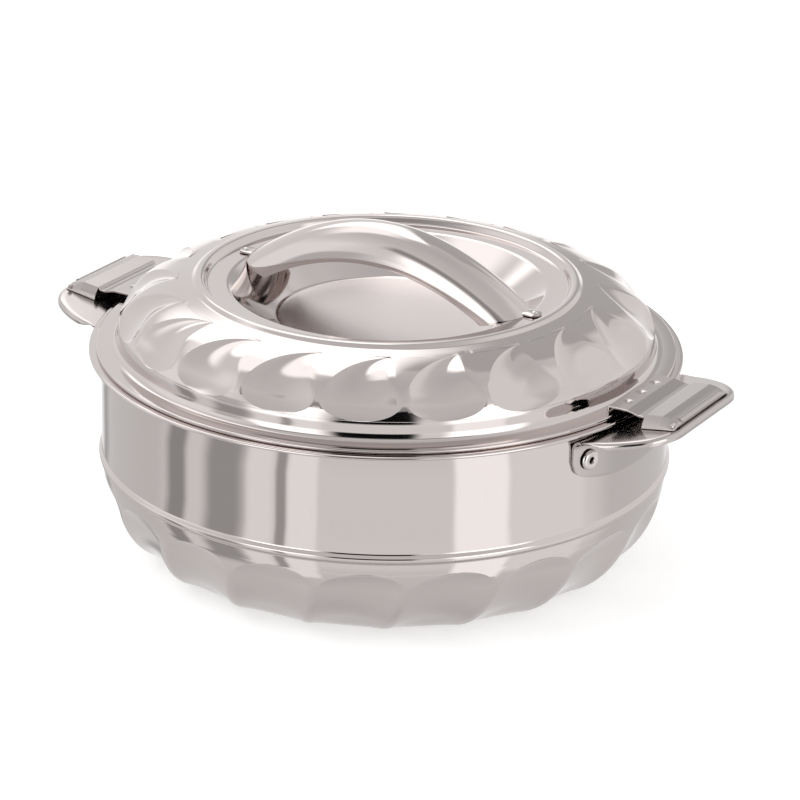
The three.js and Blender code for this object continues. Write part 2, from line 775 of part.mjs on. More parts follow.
function makeLatch(side) {
  const barrelHalf = knuckleMiddle - knuckleWidth / 2 - clearance;
  let latch = solidOf(drawnAlongY(latchProfile(), latchHalfWidth));
  latch = latch.add(solidOf(latchEnd(1))).add(solidOf(latchEnd(-1)));
  latch = latch.add(solidOf(movedTo(rodAlongY(knuckleRadius, barrelHalf, 12), pinPlace, 0, pinHeight)));
  for (const way of [-1, 0, 1]) {
    const place = [(lipInner + lipOuter) / 2, way * pipSpacing];
    const pip = new THREE.CylinderGeometry(pipRadius, pipRadius / 2, latchSheet, 8).rotateX(Math.PI / 2);
    latch = latch.add(solidOf(movedTo(pip, ...place, lipTop - latchSheet / 2 - pipDepth)));
    const dentRadius = pipRadius - latchSheet / 2;
    const dent = new THREE.CylinderGeometry(dentRadius, pipRadius / 3, latchSheet / 2, 8).rotateX(Math.PI / 2);
    latch = latch.subtract(solidOf(movedTo(dent, ...place, lipTop - latchSheet / 4 + pipDepth / 8)));
  }
  const knuckleRoom = knuckleRadius + clearance;
  for (const middleY of [-knuckleMiddle, knuckleMiddle]) {
    const room = movedTo(rodAlongY(knuckleRoom, knuckleWidth / 2 + clearance, 12), pinPlace, middleY, pinHeight);
    const below = new THREE.BoxGeometry(2 * knuckleRoom, knuckleWidth + 2 * clearance, pinLift + overrun);
    movedTo(below, pinPlace, middleY, pinHeight - (pinLift + overrun) / 2);
    latch = latch.subtract(joined(room, below));
  }
  const pinHole = movedTo(
    rodAlongY(pinRadius + pinPlay, latchHalfWidth + latchEndSlope + overrun, 12), pinPlace, 0, pinHeight);
  return geometryOf(latch.subtract(solidOf(pinHole))).rotateZ(side);
}

function makeLatchPin(side) {
  const half = latchHalfWidth + latchEndSlope + pinOverhang;
  return movedTo(rodAlongY(pinRadius, half, 12), pinPlace, 0, pinHeight).rotateZ(side);
}

// Lid

function makeLidOuter() {
  const hemInner = lidFlangeRadius - hemLength;
  const groove = domeRadius + grooveWidth;
  const ringTop = domeTop + ringHeight;
  const ringIn = ringRadius - ringHalfWidth;
  const slopeFoot = dishRadius + dishRounding;
  const wallTop = ledgeInnerRadius - dishRounding;
  const rings = [
    [new THREE.Vector3(0, 0, dishFloor)],
    plainRing(dishRadius, dishFloor),
    plainRing(slopeFoot, dishFloor + dishRounding / 2),
    plainRing(wallTop, ledgeTop - dishRounding / 2),
    plainRing(ledgeInnerRadius, ledgeTop),
    plainRing(ringIn, ledgeTop),
    plainRing(ringRadius - ringHalfWidth / 2, ringTop - sheet / 2),
    plainRing(ringRadius, ringTop),
    plainRing(ringRadius + ringHalfWidth / 2, ringTop - sheet),
    ...ellipseRows(lidForm, 0).reverse().map((row) => scoopedRing(row, lidScoop)),
    plainRing(domeRadius, domeBase),
    plainRing(domeRadius + grooveWidth / 3, lidFlangeTop + domeBaseRise / 4),
    plainRing(groove, lidFlangeTop),
    plainRing(lidFlangeRadius, lidFlangeTop),
    plainRing(lidFlangeRadius, hemBottom),
    plainRing(hemInner, hemBottom),
    plainRing(hemInner, hemBottom + sheet),
    plainRing(lidFlangeRadius - sheet, hemBottom + sheet),
    plainRing(lidFlangeRadius - sheet, outerFlangeBottom),
    plainRing(groove, outerFlangeBottom),
    plainRing(domeRadius - sheet, domeBase),
    ...ellipseRows(lidForm, sheet).map((row) => scoopedRing(row, lidScoop)),
    plainRing(ringRadius, ringTop - 1.5 * sheet),
    plainRing(ringIn + sheet, ledgeTop - sheet),
    plainRing(ledgeInnerRadius + sheet / 2, ledgeTop - sheet),
    plainRing(wallTop + sheet / 2, ledgeTop - dishRounding / 2 - sheet),
    plainRing(slopeFoot + sheet / 2, dishFloor + dishRounding / 2 - sheet),
    plainRing(dishRadius + sheet / 2, dishFloor - sheet),
    [new THREE.Vector3(0, 0, dishFloor - sheet)],
  ];
  let lid = solidOf(skinRings(rings, false));
  for (const place of archRivetPlaces) {
    const hole = rodAlongZ(archRivetRadius + clearance / 2, dishFloor, domeTop, 12);
    lid = lid.subtract(solidOf(movedTo(hole, place, 0, 0)));
  }
  return geometryOf(lid);
}

function rodAlongZ(radius, from, to, count) {
  return movedTo(
    new THREE.CylinderGeometry(radius, radius, to - from, count).rotateX(Math.PI / 2), 0, 0, (from + to) / 2);
}

const archRivetPlaces = [-archRivetPlace, archRivetPlace];

function makeLidInner() {
  const flangeRadius = lidFlangeRadius - sheet - clearance;
  const points = [
    [0, plugBottom],
    [plugRadius - plugCorner, plugBottom],
    [plugRadius - plugCorner / 4, plugBottom + plugCorner / 4],
    [plugRadius, plugBottom + plugCorner],
    [plugRadius, innerFlangeBottom],
    [flangeRadius, innerFlangeBottom],
    [flangeRadius, innerFlangeBottom + sheet],
    [plugRadius - sheet, innerFlangeBottom + sheet],
    [plugRadius - sheet, plugBottom + plugCorner],
    [plugRadius - plugCorner / 4 - sheet, plugBottom + plugCorner / 4 + sheet],
    [plugRadius - plugCorner, plugBottom + sheet],
    [0, plugBottom + sheet],
  ];
  return turnedBody(points, roundCount);
}

function makeLidInsulation() {
  const inset = lidScoopDepth + sheet + clearance;
  const side = plugRadius - sheet - clearance;
  const floor = plugBottom + sheet + clearance;
  const under = sheet + foamGap;
  const top = ellipseRows(lidForm, inset).slice(2);
  const points = [
    [0, dishFloor - under],
    [dishRadius, dishFloor - under],
    [dishRadius + dishRounding + foamGap, dishFloor + dishRounding / 2 - under],
    [ledgeInnerRadius - dishRounding + foamGap, ledgeTop - dishRounding / 2 - under],
    [ledgeInnerRadius + foamGap, ledgeTop - under],
    [ringRadius, ledgeTop - under],
    ...top.reverse().map((row) => [Math.min(row.radius, side), row.height]),
    [side, domeBase],
    [side, plugBottom + plugCorner + sheet + clearance],
    [side - plugCorner, floor],
    [0, floor],
  ];
  let foam = solidOf(turnedBody(points, foamCount));
  const pocketFloor = ledgeTop - 3 * sheet - archRivetHeadHeight;
  for (const place of archRivetPlaces) {
    const pocket = rodAlongZ(archRivetHead + clearance, pocketFloor, domeTop, 12);
    foam = foam.subtract(solidOf(movedTo(pocket, place, 0, 0)));
  }
  return geometryOf(foam);
}

// Arch handle of the lid: a half-round strap cut off level just above the ledge

function archSection(x, inset) {
  const edgeHeight = ledgeTop + archRise - archCrown - archRise * (x / archReach) ** 2;
  const steps = 8;
  const points = [];
  for (let k = 0; k <= steps; k += 1) {
    const angle = Math.PI * (k / steps);
    const y = -(archHalfWidth - inset) * Math.cos(angle);
    const z = edgeHeight + (archCrown - inset) * Math.sin(angle);
    points.push(new THREE.Vector3(x, y, z));
  }
  return points;
}

function makeLidHandle() {
  const reach = archReach + 2 * overrun;
  const steps = 14;
  const rings = [];
  for (let k = 0; k <= steps; k += 1) {
    const x = -reach + (2 * reach * k) / steps;
    rings.push([...archSection(x, 0), ...archSection(x, archSheet).reverse()]);
  }
  const seat = ledgeTop + clearance;
  let handle = solidOf(stripOf(rings));
  for (const way of [-1, 1]) {
    const tab = new THREE.BoxGeometry(archTabOuter - archTabInner, archTabWidth, archSheet);
    handle = handle.add(solidOf(movedTo(tab, (way * (archTabOuter + archTabInner)) / 2, 0, seat + archSheet / 2)));
  }
  const below = new THREE.BoxGeometry(4 * reach, 4 * archHalfWidth, 4 * archRise);
  handle = handle.subtract(solidOf(movedTo(below, 0, 0, seat - 2 * archRise)));
  for (const place of archRivetPlaces) {
    const hole = rodAlongZ(archRivetRadius + clearance / 2, dishFloor, domeTop, 12);
    handle = handle.subtract(solidOf(movedTo(hole, place, 0, 0)));
  }
  return geometryOf(handle);
}

// A skin through rings whose end caps are strips across a thin bent sheet.
function stripOf(rings) {
  const count = rings[0].length;
  const positions = [];
  for (const ring of rings) {
    ring.forEach((point) => positions.push(point.x, point.y, point.z));
  }
  const triangles = [];
  for (let i = 0; i < rings.length - 1; i += 1) {
    bridgeRings(triangles, i * count, count, (i + 1) * count, count);
  }
  const endStart = (rings.length - 1) * count;
  for (let k = 0; k < count / 2 - 1; k += 1) {
    const across = count - 1 - k;
    triangles.push(k + 1, k, across);
    triangles.push(k + 1, across, across - 1);
    triangles.push(endStart + k, endStart + k + 1, endStart + across);
    triangles.push(endStart + k + 1, endStart + across - 1, endStart + across);
  }
  const geometry = new THREE.BufferGeometry();
  geometry.setAttribute('position', new THREE.Float32BufferAttribute(positions, 3));
  geometry.setIndex(triangles);
  return facedOutwards(geometry);
}

function makeArchRivet() {
  const headFoot = ledgeTop + 2 * clearance + archSheet;
  const tailTop = ledgeTop - sheet - clearance;
  return turnedBody([
    [0, tailTop - archRivetHeadHeight],
    [archRivetHead - clearance, tailTop - archRivetHeadHeight],
    [archRivetHead, tailTop],
    [archRivetRadius, tailTop],
    [archRivetRadius, headFoot],
    [archRivetHead, headFoot],
    [archRivetHead / 2, headFoot + archRivetHeadHeight],
    [0, headFoot + archRivetHeadHeight],
  ], 12);
}

// Materials

function steel(colour, roughness) {
  return new THREE.MeshStandardMaterial({ color: colour, roughness, metalness: 1 });
}

function foamMaterial() {
  return new THREE.MeshStandardMaterial({ color: 0xe8dcb4, roughness: 0.95, metalness: 0 });
}

function pieceOf(name, geometry, material) {
  const mesh = new THREE.Mesh(geometry, material);
  mesh.name = name;
  return mesh;
}

// Assembly

const body = new THREE.Group();
body.add(pieceOf('outer_shell', makeOuterShell(), steel(0xc9c3c1, 0.16)));
body.add(pieceOf('inner_bowl', makeInnerBowl(), steel(0xcfcac8, 0.12)));
body.add(pieceOf('body_insulation', makeBodyInsulation(), foamMaterial()));
body.add(pieceOf('fill_hole_plug', makeFillPlug(),
  new THREE.MeshStandardMaterial({ color: 0x9a9a9a, roughness: 0.6, metalness: 0 })));
for (const [name, side] of [['right', 0], ['left', Math.PI]]) {
  body.add(pieceOf(`handle_${name}`, makeHandle(side), steel(0xbdb7b4, 0.22)));
  body.add(pieceOf(`latch_${name}`, makeLatch(side), steel(0xc2bcb9, 0.28)));
  body.add(pieceOf(`latch_pin_${name}`, makeLatchPin(side), steel(0xcfcfcf, 0.25)));
}
for (const { name, angle } of rivetPlaces) {
  body.add(pieceOf(`handle_rivet_${name}`, atRivet(makeHandleRivet(), angle), steel(0xd8d5d2, 0.2)));
  body.add(pieceOf(`rivet_washer_${name}`, atRivet(makeWasher(), angle), steel(0xb0b0b0, 0.4)));
}

const lid = new THREE.Group();
lid.add(pieceOf('lid_outer', makeLidOuter(), steel(0xcdc7c5, 0.1)));
lid.add(pieceOf('lid_inner', makeLidInner(), steel(0xcfcac8, 0.12)));
lid.add(pieceOf('lid_insulation', makeLidInsulation(), foamMaterial()));
lid.add(pieceOf('lid_handle', makeLidHandle(), steel(0xc8c2bf, 0.12)));
for (const [name, place] of [['left', -archRivetPlace], ['right', archRivetPlace]]) {
  lid.add(pieceOf(`lid_handle_rivet_${name}`, movedTo(makeArchRivet(), place, 0, 0), steel(0xd8d5d2, 0.2)));
}

const casserole = new THREE.Group();
casserole.add(body, lid);

export default casserole;
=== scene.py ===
import math

import bpy
from mathutils import Matrix, Vector


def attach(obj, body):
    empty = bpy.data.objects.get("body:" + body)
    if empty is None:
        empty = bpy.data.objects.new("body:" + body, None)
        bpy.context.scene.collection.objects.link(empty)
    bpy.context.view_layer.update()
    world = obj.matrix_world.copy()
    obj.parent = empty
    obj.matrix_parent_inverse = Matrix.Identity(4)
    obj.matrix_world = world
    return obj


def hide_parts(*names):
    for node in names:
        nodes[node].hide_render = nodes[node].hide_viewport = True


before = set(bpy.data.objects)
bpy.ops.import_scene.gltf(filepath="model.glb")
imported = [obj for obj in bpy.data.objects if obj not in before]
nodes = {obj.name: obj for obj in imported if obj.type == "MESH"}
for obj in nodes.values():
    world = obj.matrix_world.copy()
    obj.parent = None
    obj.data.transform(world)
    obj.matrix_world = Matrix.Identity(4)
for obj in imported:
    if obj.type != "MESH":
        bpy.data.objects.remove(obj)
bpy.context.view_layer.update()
mm = 0.001
weld = 2e-6                          # points this near to each other become one, in metres
print("frame loaded:", len(nodes), "CAD nodes")


# small helpers used by every piece

def selectOnly(piece):
    bpy.ops.object.select_all(action="DESELECT")
    piece.select_set(True)
    bpy.context.view_layer.objects.active = piece


# opens the piece in edit mode with all of it selected
def editAll(piece):
    selectOnly(piece)
    bpy.ops.object.mode_set(mode="EDIT")
    bpy.ops.mesh.select_all(action="SELECT")


def endEdit():
    bpy.ops.object.mode_set(mode="OBJECT")


def radians(degrees):
    return degrees * math.pi / 180


def arcPoints(centre, radius, fromDegrees, toDegrees, steps):
    points = []
    for step in range(steps + 1):
        angle = radians(fromDegrees + (toDegrees - fromDegrees) * step / steps)
        points.append((centre[0] + radius * math.cos(angle), centre[1] + radius * math.sin(angle)))
    return points


# corners is a list of (x, z, corner radius); each corner is rounded with a few steps
def roundedPath(corners, steps=5):
    path = [corners[0][:2]]
    for before, corner, after in zip(corners, corners[1:], corners[2:]):
        here = Vector(corner[:2])
        inWay = Vector(before[:2]) - here
        outWay = Vector(after[:2]) - here
        turn = inWay.angle(outWay)
        if corner[2] <= 0 or turn > 3.1:
            path.append(corner[:2])
            continue
        reach = min(corner[2] / math.tan(turn / 2), inWay.length * 0.49, outWay.length * 0.49)
        start = here + inWay.normalized() * reach
        end = here + outWay.normalized() * reach
        path += [tuple(bezier(start, here, end, step / steps)) for step in range(steps + 1)]
    path.append(corners[-1][:2])
    return path


def bezier(a, b, c, share):
    return a.lerp(b, share).lerp(b.lerp(c, share), share)


def smoothStep(low, high, value):
    share = min(max((value - low) / (high - low), 0), 1)
    return share * share * (3 - 2 * share)


# turns the faces so that the one nearest to the probe point, in metres, looks the given way
def faceTowards(piece, probe, way):
    nearest = min(piece.data.polygons, key=lambda face: (face.center - Vector(probe)).length)
    if nearest.normal.dot(Vector(way)) < 0:
        editAll(piece)
        bpy.ops.mesh.flip_normals()
        endEdit()


# a piece turned round the Z axis from (radius, height) points in millimetres
def turnedPiece(name, profile, steps):
    bpy.ops.mesh.primitive_plane_add(size=mm, location=(0, 0, 0))
    piece = bpy.context.active_object
    piece.name = name
    bpy.ops.object.mode_set(mode="EDIT")
    bpy.ops.mesh.select_mode(type="VERT")
    bpy.ops.mesh.select_all(action="SELECT")
    bpy.ops.mesh.merge(type="CENTER")
    bpy.ops.transform.translate(value=(profile[0][0] * mm, 0, profile[0][1] * mm))
    for (x0, z0), (x1, z1) in zip(profile, profile[1:]):
        bpy.ops.mesh.extrude_vertices_move(
            TRANSFORM_OT_translate={"value": ((x1 - x0) * mm, 0, (z1 - z0) * mm)})
    bpy.ops.mesh.select_all(action="SELECT")
    bpy.ops.mesh.spin(steps=steps, angle=2 * math.pi, center=(0, 0, 0), axis=(0, 0, 1))
    bpy.ops.mesh.select_all(action="SELECT")
    bpy.ops.mesh.remove_doubles(threshold=weld)
    bpy.ops.mesh.normals_make_consistent(inside=False)
    endEdit()
    return piece


# a grid whose points are placed by place(column, row) in millimetres
def gridPiece(name, columns, rows, place):
    bpy.ops.mesh.primitive_grid_add(x_subdivisions=columns, y_subdivisions=rows, size=2, location=(0, 0, 0))
    piece = bpy.context.active_object
    piece.name = name
    for vertex in piece.data.vertices:
        column = round((vertex.co.x + 1) / 2 * columns)
        row = round((vertex.co.y + 1) / 2 * rows)
        vertex.co = Vector(place(column, row)) * mm
    return piece


def mergeDoubles(piece, distance=weld):
    editAll(piece)
    bpy.ops.mesh.remove_doubles(threshold=distance)
    bpy.ops.mesh.dissolve_degenerate(threshold=1e-7)
    endEdit()


# copies one sector of a round piece all the way round
def repeatRound(piece, count):
    editAll(piece)
    bpy.ops.mesh.spin(steps=count - 1, dupli=True, angle=2 * math.pi * (count - 1) / count,
                      center=(0, 0, 0), axis=(0, 0, 1))
    endEdit()
    mergeDoubles(piece, distance=4e-6)


def applyModifier(piece, kind, **settings):
    modifier = piece.modifiers.new("change", kind)
    for name, value in settings.items():
        setattr(modifier, name, value)
    bpy.context.view_layer.objects.active = piece
    bpy.ops.object.modifier_apply(modifier=modifier.name)


def addThickness(piece, sheet):
    applyModifier(piece, "SOLIDIFY", thickness=sheet * mm, offset=-1)


def roundEdges(piece, width, degrees=50):
    applyModifier(piece, "BEVEL", width=width * mm, segments=2, limit_method="ANGLE",
                  angle_limit=radians(degrees))


def smoothFaces(piece, degrees=30):
    selectOnly(piece)
    bpy.ops.object.shade_smooth_by_angle(angle=radians(degrees))


def joinInto(piece, other):
    selectOnly(piece)
    other.select_set(True)
    bpy.ops.object.join()


# moves the points of a mesh by millimetres, after a quarter turn round the given axis if there is one
def placeMesh(piece, move, quarterTurnAxis=None):
    if quarterTurnAxis:
        piece.data.transform(Matrix.Rotation(math.pi / 2, 4, quarterTurnAxis))
    piece.data.transform(Matrix.Translation(Vector(move) * mm))


# a copy with its own mesh, turned round Z
def copyPiece(piece, name, degrees):
    twin = piece.copy()
    twin.data = piece.data.copy()
    twin.name = name
    bpy.context.scene.collection.objects.link(twin)
    twin.data.transform(Matrix.Rotation(radians(degrees), 4, "Z"))
    return twin


def finishPiece(piece, body, material, slot, *replaced):
    piece.data.materials.clear()
    piece.data.materials.append(material)
    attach(piece, body)
    if replaced:
        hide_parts(*replaced)


# finishes

# adds a node and fills its inputs, each with a number, a colour or another node's output
def addNode(tree, kind, values=None, **settings):
    node = tree.nodes.new("ShaderNode" + kind)
    for name, value in settings.items():
        setattr(node, name, value)
    for name, value in (values or {}).items():
        if isinstance(value, bpy.types.NodeSocket):
            tree.links.new(value, node.inputs[name])
        else:
            node.inputs[name].default_value = value
    return node


def calculate(tree, operation, *values):
    return addNode(tree, "Math", dict(enumerate(values)), operation=operation).outputs[0]


# a node group with its inputs and their values, and the sockets at its two ends; None is a place
def newGroup(name, inputs, outputs):
    group = bpy.data.node_groups.new(name, "ShaderNodeTree")
    for label, value in inputs.items():
        kind = "NodeSocketVector" if value is None else "NodeSocketFloat"
        socket = group.interface.new_socket(label, in_out="INPUT", socket_type=kind)
        if value is not None:
            socket.default_value = value
    for label in outputs:
        group.interface.new_socket(label, in_out="OUTPUT", socket_type="NodeSocketFloat")
    return group, group.nodes.new("NodeGroupInput").outputs, group.nodes.new("NodeGroupOutput").inputs


# fine marks of use and polishing: a slow stain, a grain and thin scratches
def makeMarksGroup():
    group, given, out = newGroup(
        "steelMarks", {"Vector": None, "Smooth": 0.05, "Rough": 0.15, "Stain Scale": 9.0, "Scratch": 0.3},
        ("Roughness", "Height"))
    stain = addNode(group, "TexNoise", {"Vector": given["Vector"], "Scale": given["Stain Scale"], "Detail": 4})
    blend = addNode(group, "MapRange", {"Value": stain.outputs["Fac"], "From Min": 0.35, "From Max": 0.70})
    spread = addNode(group, "Mapping", {
        "Vector": given["Vector"], "Rotation": (0.35, 0.2, 0.6), "Scale": (25, 700, 160)})
    scratch = addNode(group, "TexNoise", {"Vector": spread.outputs["Vector"], "Scale": 1, "Detail": 3})
    thin = addNode(group, "MapRange", {"Value": scratch.outputs["Fac"], "From Min": 0.60, "From Max": 0.78})
    marks = calculate(group, "MULTIPLY", thin.outputs["Result"], given["Scratch"])
    total = addNode(group, "Math", {0: blend.outputs["Result"], 1: marks}, operation="ADD", use_clamp=True)
    reach = addNode(group, "MapRange", {
        "Value": total.outputs["Value"], "To Min": given["Smooth"], "To Max": given["Rough"]})
    group.links.new(reach.outputs["Result"], out["Roughness"])
    group.links.new(marks, out["Height"])
    return group


# the slow waves that a pressed or spun sheet keeps
def makeRippleGroup():
    group, given, out = newGroup(
        "sheetRipple", {"Vector": None, "Wave Scale": 25.0, "Grain Scale": 900.0, "Grain": 0.1}, ("Height",))
    wave = addNode(group, "TexNoise", {"Vector": given["Vector"], "Scale": given["Wave Scale"], "Detail": 1})
    grain = addNode(group, "TexNoise", {"Vector": given["Vector"], "Scale": given["Grain Scale"], "Detail": 2})
    grainShare = calculate(group, "MULTIPLY", grain.outputs["Fac"], given["Grain"])
    group.links.new(calculate(group, "ADD", wave.outputs["Fac"], grainShare), out["Height"])
    return group


marksGroup = makeMarksGroup()
rippleGroup = makeRippleGroup()


# a new material, its nodes, its shader and the place on the piece that its patterns read
def newMaterial(name):
    material = bpy.data.materials.new(name)
    material.use_nodes = True
    tree = material.node_tree
    place = addNode(tree, "TexCoord").outputs["Object"]
    return material, tree, tree.nodes["Principled BSDF"], place


# 1 nearer to the upright middle line than the inner radius, 0 beyond the outer one
def nearMiddle(tree, place, inner, outer):
    flat = addNode(tree, "VectorMath", {0: place, 1: (1, 1, 0)}, operation="MULTIPLY")
    away = addNode(tree, "VectorMath", {0: flat.outputs["Vector"]}, operation="LENGTH")
    inside = addNode(tree, "MapRange", {
        "Value": away.outputs["Value"], "From Min": outer * mm, "From Max": inner * mm},
        interpolation_type="SMOOTHSTEP")
    return inside.outputs["Result"]


# a look with a centre has a satin middle, as spinning leaves it; one with a bore gets painted shade, near-black, nearer
# than the wall
def steelFinish(name, look):
    material, tree, shader, place = newMaterial(name)
    shader.inputs["Metallic"].default_value = 1
    marks = addNode(tree, "Group", {
        "Vector": place, "Smooth": look["smooth"], "Rough": look["rough"],
        "Stain Scale": look["stainScale"], "Scratch": look["scratch"]}, node_tree=marksGroup)
    roughness = marks.outputs["Roughness"]
    if "centreRadius" in look:
        inside = nearMiddle(tree, place, look["centreRadius"] - 1, look["centreRadius"] + 3)
        roughness = addNode(tree, "Mix", {
            "Factor": inside, "A": roughness, "B": look["centreRough"]}).outputs["Result"]
    tree.links.new(roughness, shader.inputs["Roughness"])
    ripple = addNode(tree, "Group", {
        "Vector": place, "Wave Scale": look["waveScale"], "Grain Scale": look["grainScale"],
        "Grain": look["grain"]}, node_tree=rippleGroup)
    bump = addNode(tree, "Bump", {
        "Height": ripple.outputs["Height"], "Distance": look["waveDepth"] * mm, "Strength": 1})
    tree.links.new(bump.outputs["Normal"], shader.inputs["Normal"])
    colour = addNode(tree, "MixRGB", {
        "Fac": marks.outputs["Height"], "Color1": (*look["colour"], 1),
        "Color2": (*[value * look["dull"] for value in look["colour"]], 1)}).outputs["Color"]
    # painted shade: the bore and shank inside the wall plane are painted near-black, standing in for shade in the hole
    if "boreRadius" in look:
        inside = nearMiddle(tree, place, look["boreRadius"] - 0.3, look["boreRadius"])
        colour = addNode(tree, "MixRGB", {
            "Fac": inside, "Color1": colour, "Color2": (*look["boreShadeColour"], 1)}).outputs["Color"]
    tree.links.new(colour, shader.inputs["Base Color"])
    return material


mirrorLook = {
    "colour": (0.660, 0.605, 0.588), "dull": 0.93, "smooth": 0.035, "rough": 0.075, "stainScale": 14,
    "scratch": 0.25, "waveScale": 22, "waveDepth": 0.02, "grainScale": 1200, "grain": 0.01}
lidLook = dict(mirrorLook, smooth=0.05, rough=0.10, centreRadius=47.5, centreRough=0.27)
linerLook = dict(mirrorLook, smooth=0.10, rough=0.20, scratch=0.5)
handleLook = dict(
    mirrorLook, colour=(0.575, 0.530, 0.516), smooth=0.12, rough=0.22, scratch=0.5, waveDepth=0.03, grain=0.04)
latchLook = dict(
    mirrorLook, colour=(0.54, 0.498, 0.485), smooth=0.18, rough=0.30, scratch=0.4, waveDepth=0.04, grain=0.10,
    grainScale=1800)
fastenerLook = dict(mirrorLook, colour=(0.70, 0.66, 0.645), smooth=0.12, rough=0.25, scratch=0.4)
# the bore colour is painted shade, a near-black standing in for the shadow inside the rivet's hole
rivetLook = dict(fastenerLook, boreRadius=131.3, boreShadeColour=(0.035, 0.032, 0.030))

mirrorSteel = steelFinish("mirrorSteel", mirrorLook)
lidSteel = steelFinish("lidSteel", lidLook)
linerSteel = steelFinish("linerSteel", linerLook)
handleSteel = steelFinish("handleSteel", handleLook)
latchSteel = steelFinish("latchSteel", latchLook)
fastenerSteel = steelFinish("fastenerSteel", fastenerLook)
rivetSteel = steelFinish("rivetSteel", rivetLook)


# base colour between two tones
def twoTones(tree, shader, share, first, second):
    ramp = addNode(tree, "ValToRGB", {"Fac": share})
    for stop, colour in zip(ramp.color_ramp.elements, (first, second)):
        stop.color = (*colour, 1)
    tree.links.new(ramp.outputs["Color"], shader.inputs["Base Color"])


def foamFinish(look):
    material, tree, shader, place = newMaterial("foamCells")
    shader.inputs["Roughness"].default_value = look["roughness"]
    cells = addNode(tree, "TexVoronoi", {"Vector": place, "Scale": look["cellScale"]}).outputs["Distance"]
    twoTones(tree, shader, cells, look["darkTone"], look["paleTone"])
    bump = addNode(tree, "Bump", {"Height": cells, "Distance": look["cellDepth"] * mm})
    tree.links.new(bump.outputs["Normal"], shader.inputs["Normal"])
    return material


def plasticFinish(look):
    material, tree, shader, place = newMaterial("greyPlastic")
    noise = addNode(tree, "TexNoise", {"Vector": place, "Scale": look["grainScale"], "Detail": 3}).outputs["Fac"]
    twoTones(tree, shader, noise, look["darkTone"], look["paleTone"])
    reach = addNode(tree, "MapRange", {"Value": noise, "To Min": look["smooth"], "To Max": look["rough"]})
    tree.links.new(reach.outputs["Result"], shader.inputs["Roughness"])
    return material


foamLook = {
    "roughness": 0.95, "cellScale": 900, "cellDepth": 0.3,
    "darkTone": (0.70, 0.58, 0.34), "paleTone": (0.86, 0.78, 0.55)}
plasticLook = {
    "grainScale": 700, "smooth": 0.45, "rough": 0.65,
    "darkTone": (0.10, 0.10, 0.105), "paleTone": (0.15, 0.15, 0.155)}

foam = foamFinish(foamLook)
greyPlastic = plasticFinish(plasticLook)
for name, node in nodes.items():
    node.data.materials.clear()
    node.data.materials.append(foam if "insulation" in name else greyPlastic if "plug" in name else fastenerSteel)
print("finishes ready")


# scooped skins of the body and the lid

lidShape = {
    "flutes": 20, "turn": -1.5, "scoopDepth": 3.2, "sheet": 0.6,
    "middleRadius": 82.5, "middleHeight": 102.7, "across": 38.7, "up": 23.2,
    "endDegrees": 6.8, "wideDegrees": 25, "tipDegrees": 71, "topDegrees": 76,
    "land": 0.035, "lean": 0.07, "rightLean": 0.13, "leanSpan": 0.6, "softEdge": 0.3, "softSpan": 30,
    "footPower": 1.6, "tipPower": 1.7,          # how fast a scoop gets shallow towards its ends
    "evenShare": 0.55, "evenRows": 16, "endRows": 18,   # rows are evenly spaced there, and closer at the two ends
    "flange": 131.0, "hem": 3, "hemBottom": 95.0, "flangeTop": 96.8, "edgeRound": 0.8,
    "groove": 3.4, "grooveTop": 101.5, "grooveSteps": 11,
    "ring": 84.5, "ringTop": 127.5, "ledge": 71.5, "ledgeTop": 124.0, "dish": 48.5, "dishFloor": 108.5,
}

bodyShape = {
    "flutes": 20, "turn": 0.35, "scoopDepth": 3.4, "twist": -6, "sheet": 0.6,
    "middleRadius": 95, "middleHeight": 42.6, "across": 33.6, "up": 42.6,
    "startDegrees": 6, "wideDegrees": 19, "endDegrees": 80, "fadeDegrees": 52, "baseDegrees": 86,
    "land": 0.03, "footPower": 1.6, "rowDegrees": 2.0, "evenRows": 34, "endRows": 16,
    "wall": 128.8, "bead": 130.0, "beadHeight": 45.4, "flange": 133.2, "flangeBottom": 93.7,
    "foot": 95, "footWidth": 9, "baseRise": 2.2, "baseStep": 4, "fillHole": 8,
}


# a row of the ellipse that carries the scoops: radius, height and the way out of the surface
def ellipseRow(shape, degrees, rise):
    angle = radians(degrees)
    normal = Vector((math.cos(angle) / shape["across"], rise * math.sin(angle) / shape["up"])).normalized()
    radius = shape["middleRadius"] + shape["across"] * math.cos(angle)
    height = shape["middleHeight"] + rise * shape["up"] * math.sin(angle)
    return radius, height, normal


# left and right edge of a lid scoop at this place on the dome, as shares of its sector, and its depth
def lidScoopEdges(shape, degrees):
    full = 1 - 2 * shape["land"]
    if degrees <= shape["endDegrees"] or degrees >= shape["tipDegrees"]:
        return shape["land"], 1 - shape["land"], 0
    if degrees < shape["wideDegrees"]:
        back = (shape["wideDegrees"] - degrees) / (shape["wideDegrees"] - shape["endDegrees"])
        width = full * math.sqrt(1 - back * back)
        return 0.5 - width / 2, 0.5 + width / 2, shape["scoopDepth"] * width ** shape["footPower"]
    along = (degrees - shape["wideDegrees"]) / (shape["tipDegrees"] - shape["wideDegrees"])
    width = full * math.sqrt(1 - along * along)
    left = 1 - shape["land"] - shape["lean"] * along - width
    right = max(1 - shape["land"] - shape["rightLean"] * smoothStep(0, shape["leanSpan"], along), left + 0.01)
    return left, right, shape["scoopDepth"] * width ** shape["tipPower"]


# the same for a body scoop, which fades out towards the base
def bodyScoopEdges(shape, degrees):
    full = 1 - 2 * shape["land"]
    if degrees <= shape["startDegrees"]:
        return shape["land"], 1 - shape["land"], 0
    width = full
    if degrees < shape["wideDegrees"]:
        back = (shape["wideDegrees"] - degrees) / (shape["wideDegrees"] - shape["startDegrees"])
        width = full * math.sqrt(1 - back * back)
    fade = 1 - smoothStep(shape["fadeDegrees"], shape["baseDegrees"], degrees)
    return 0.5 - width / 2, 0.5 + width / 2, shape["scoopDepth"] * width ** shape["footPower"] * fade


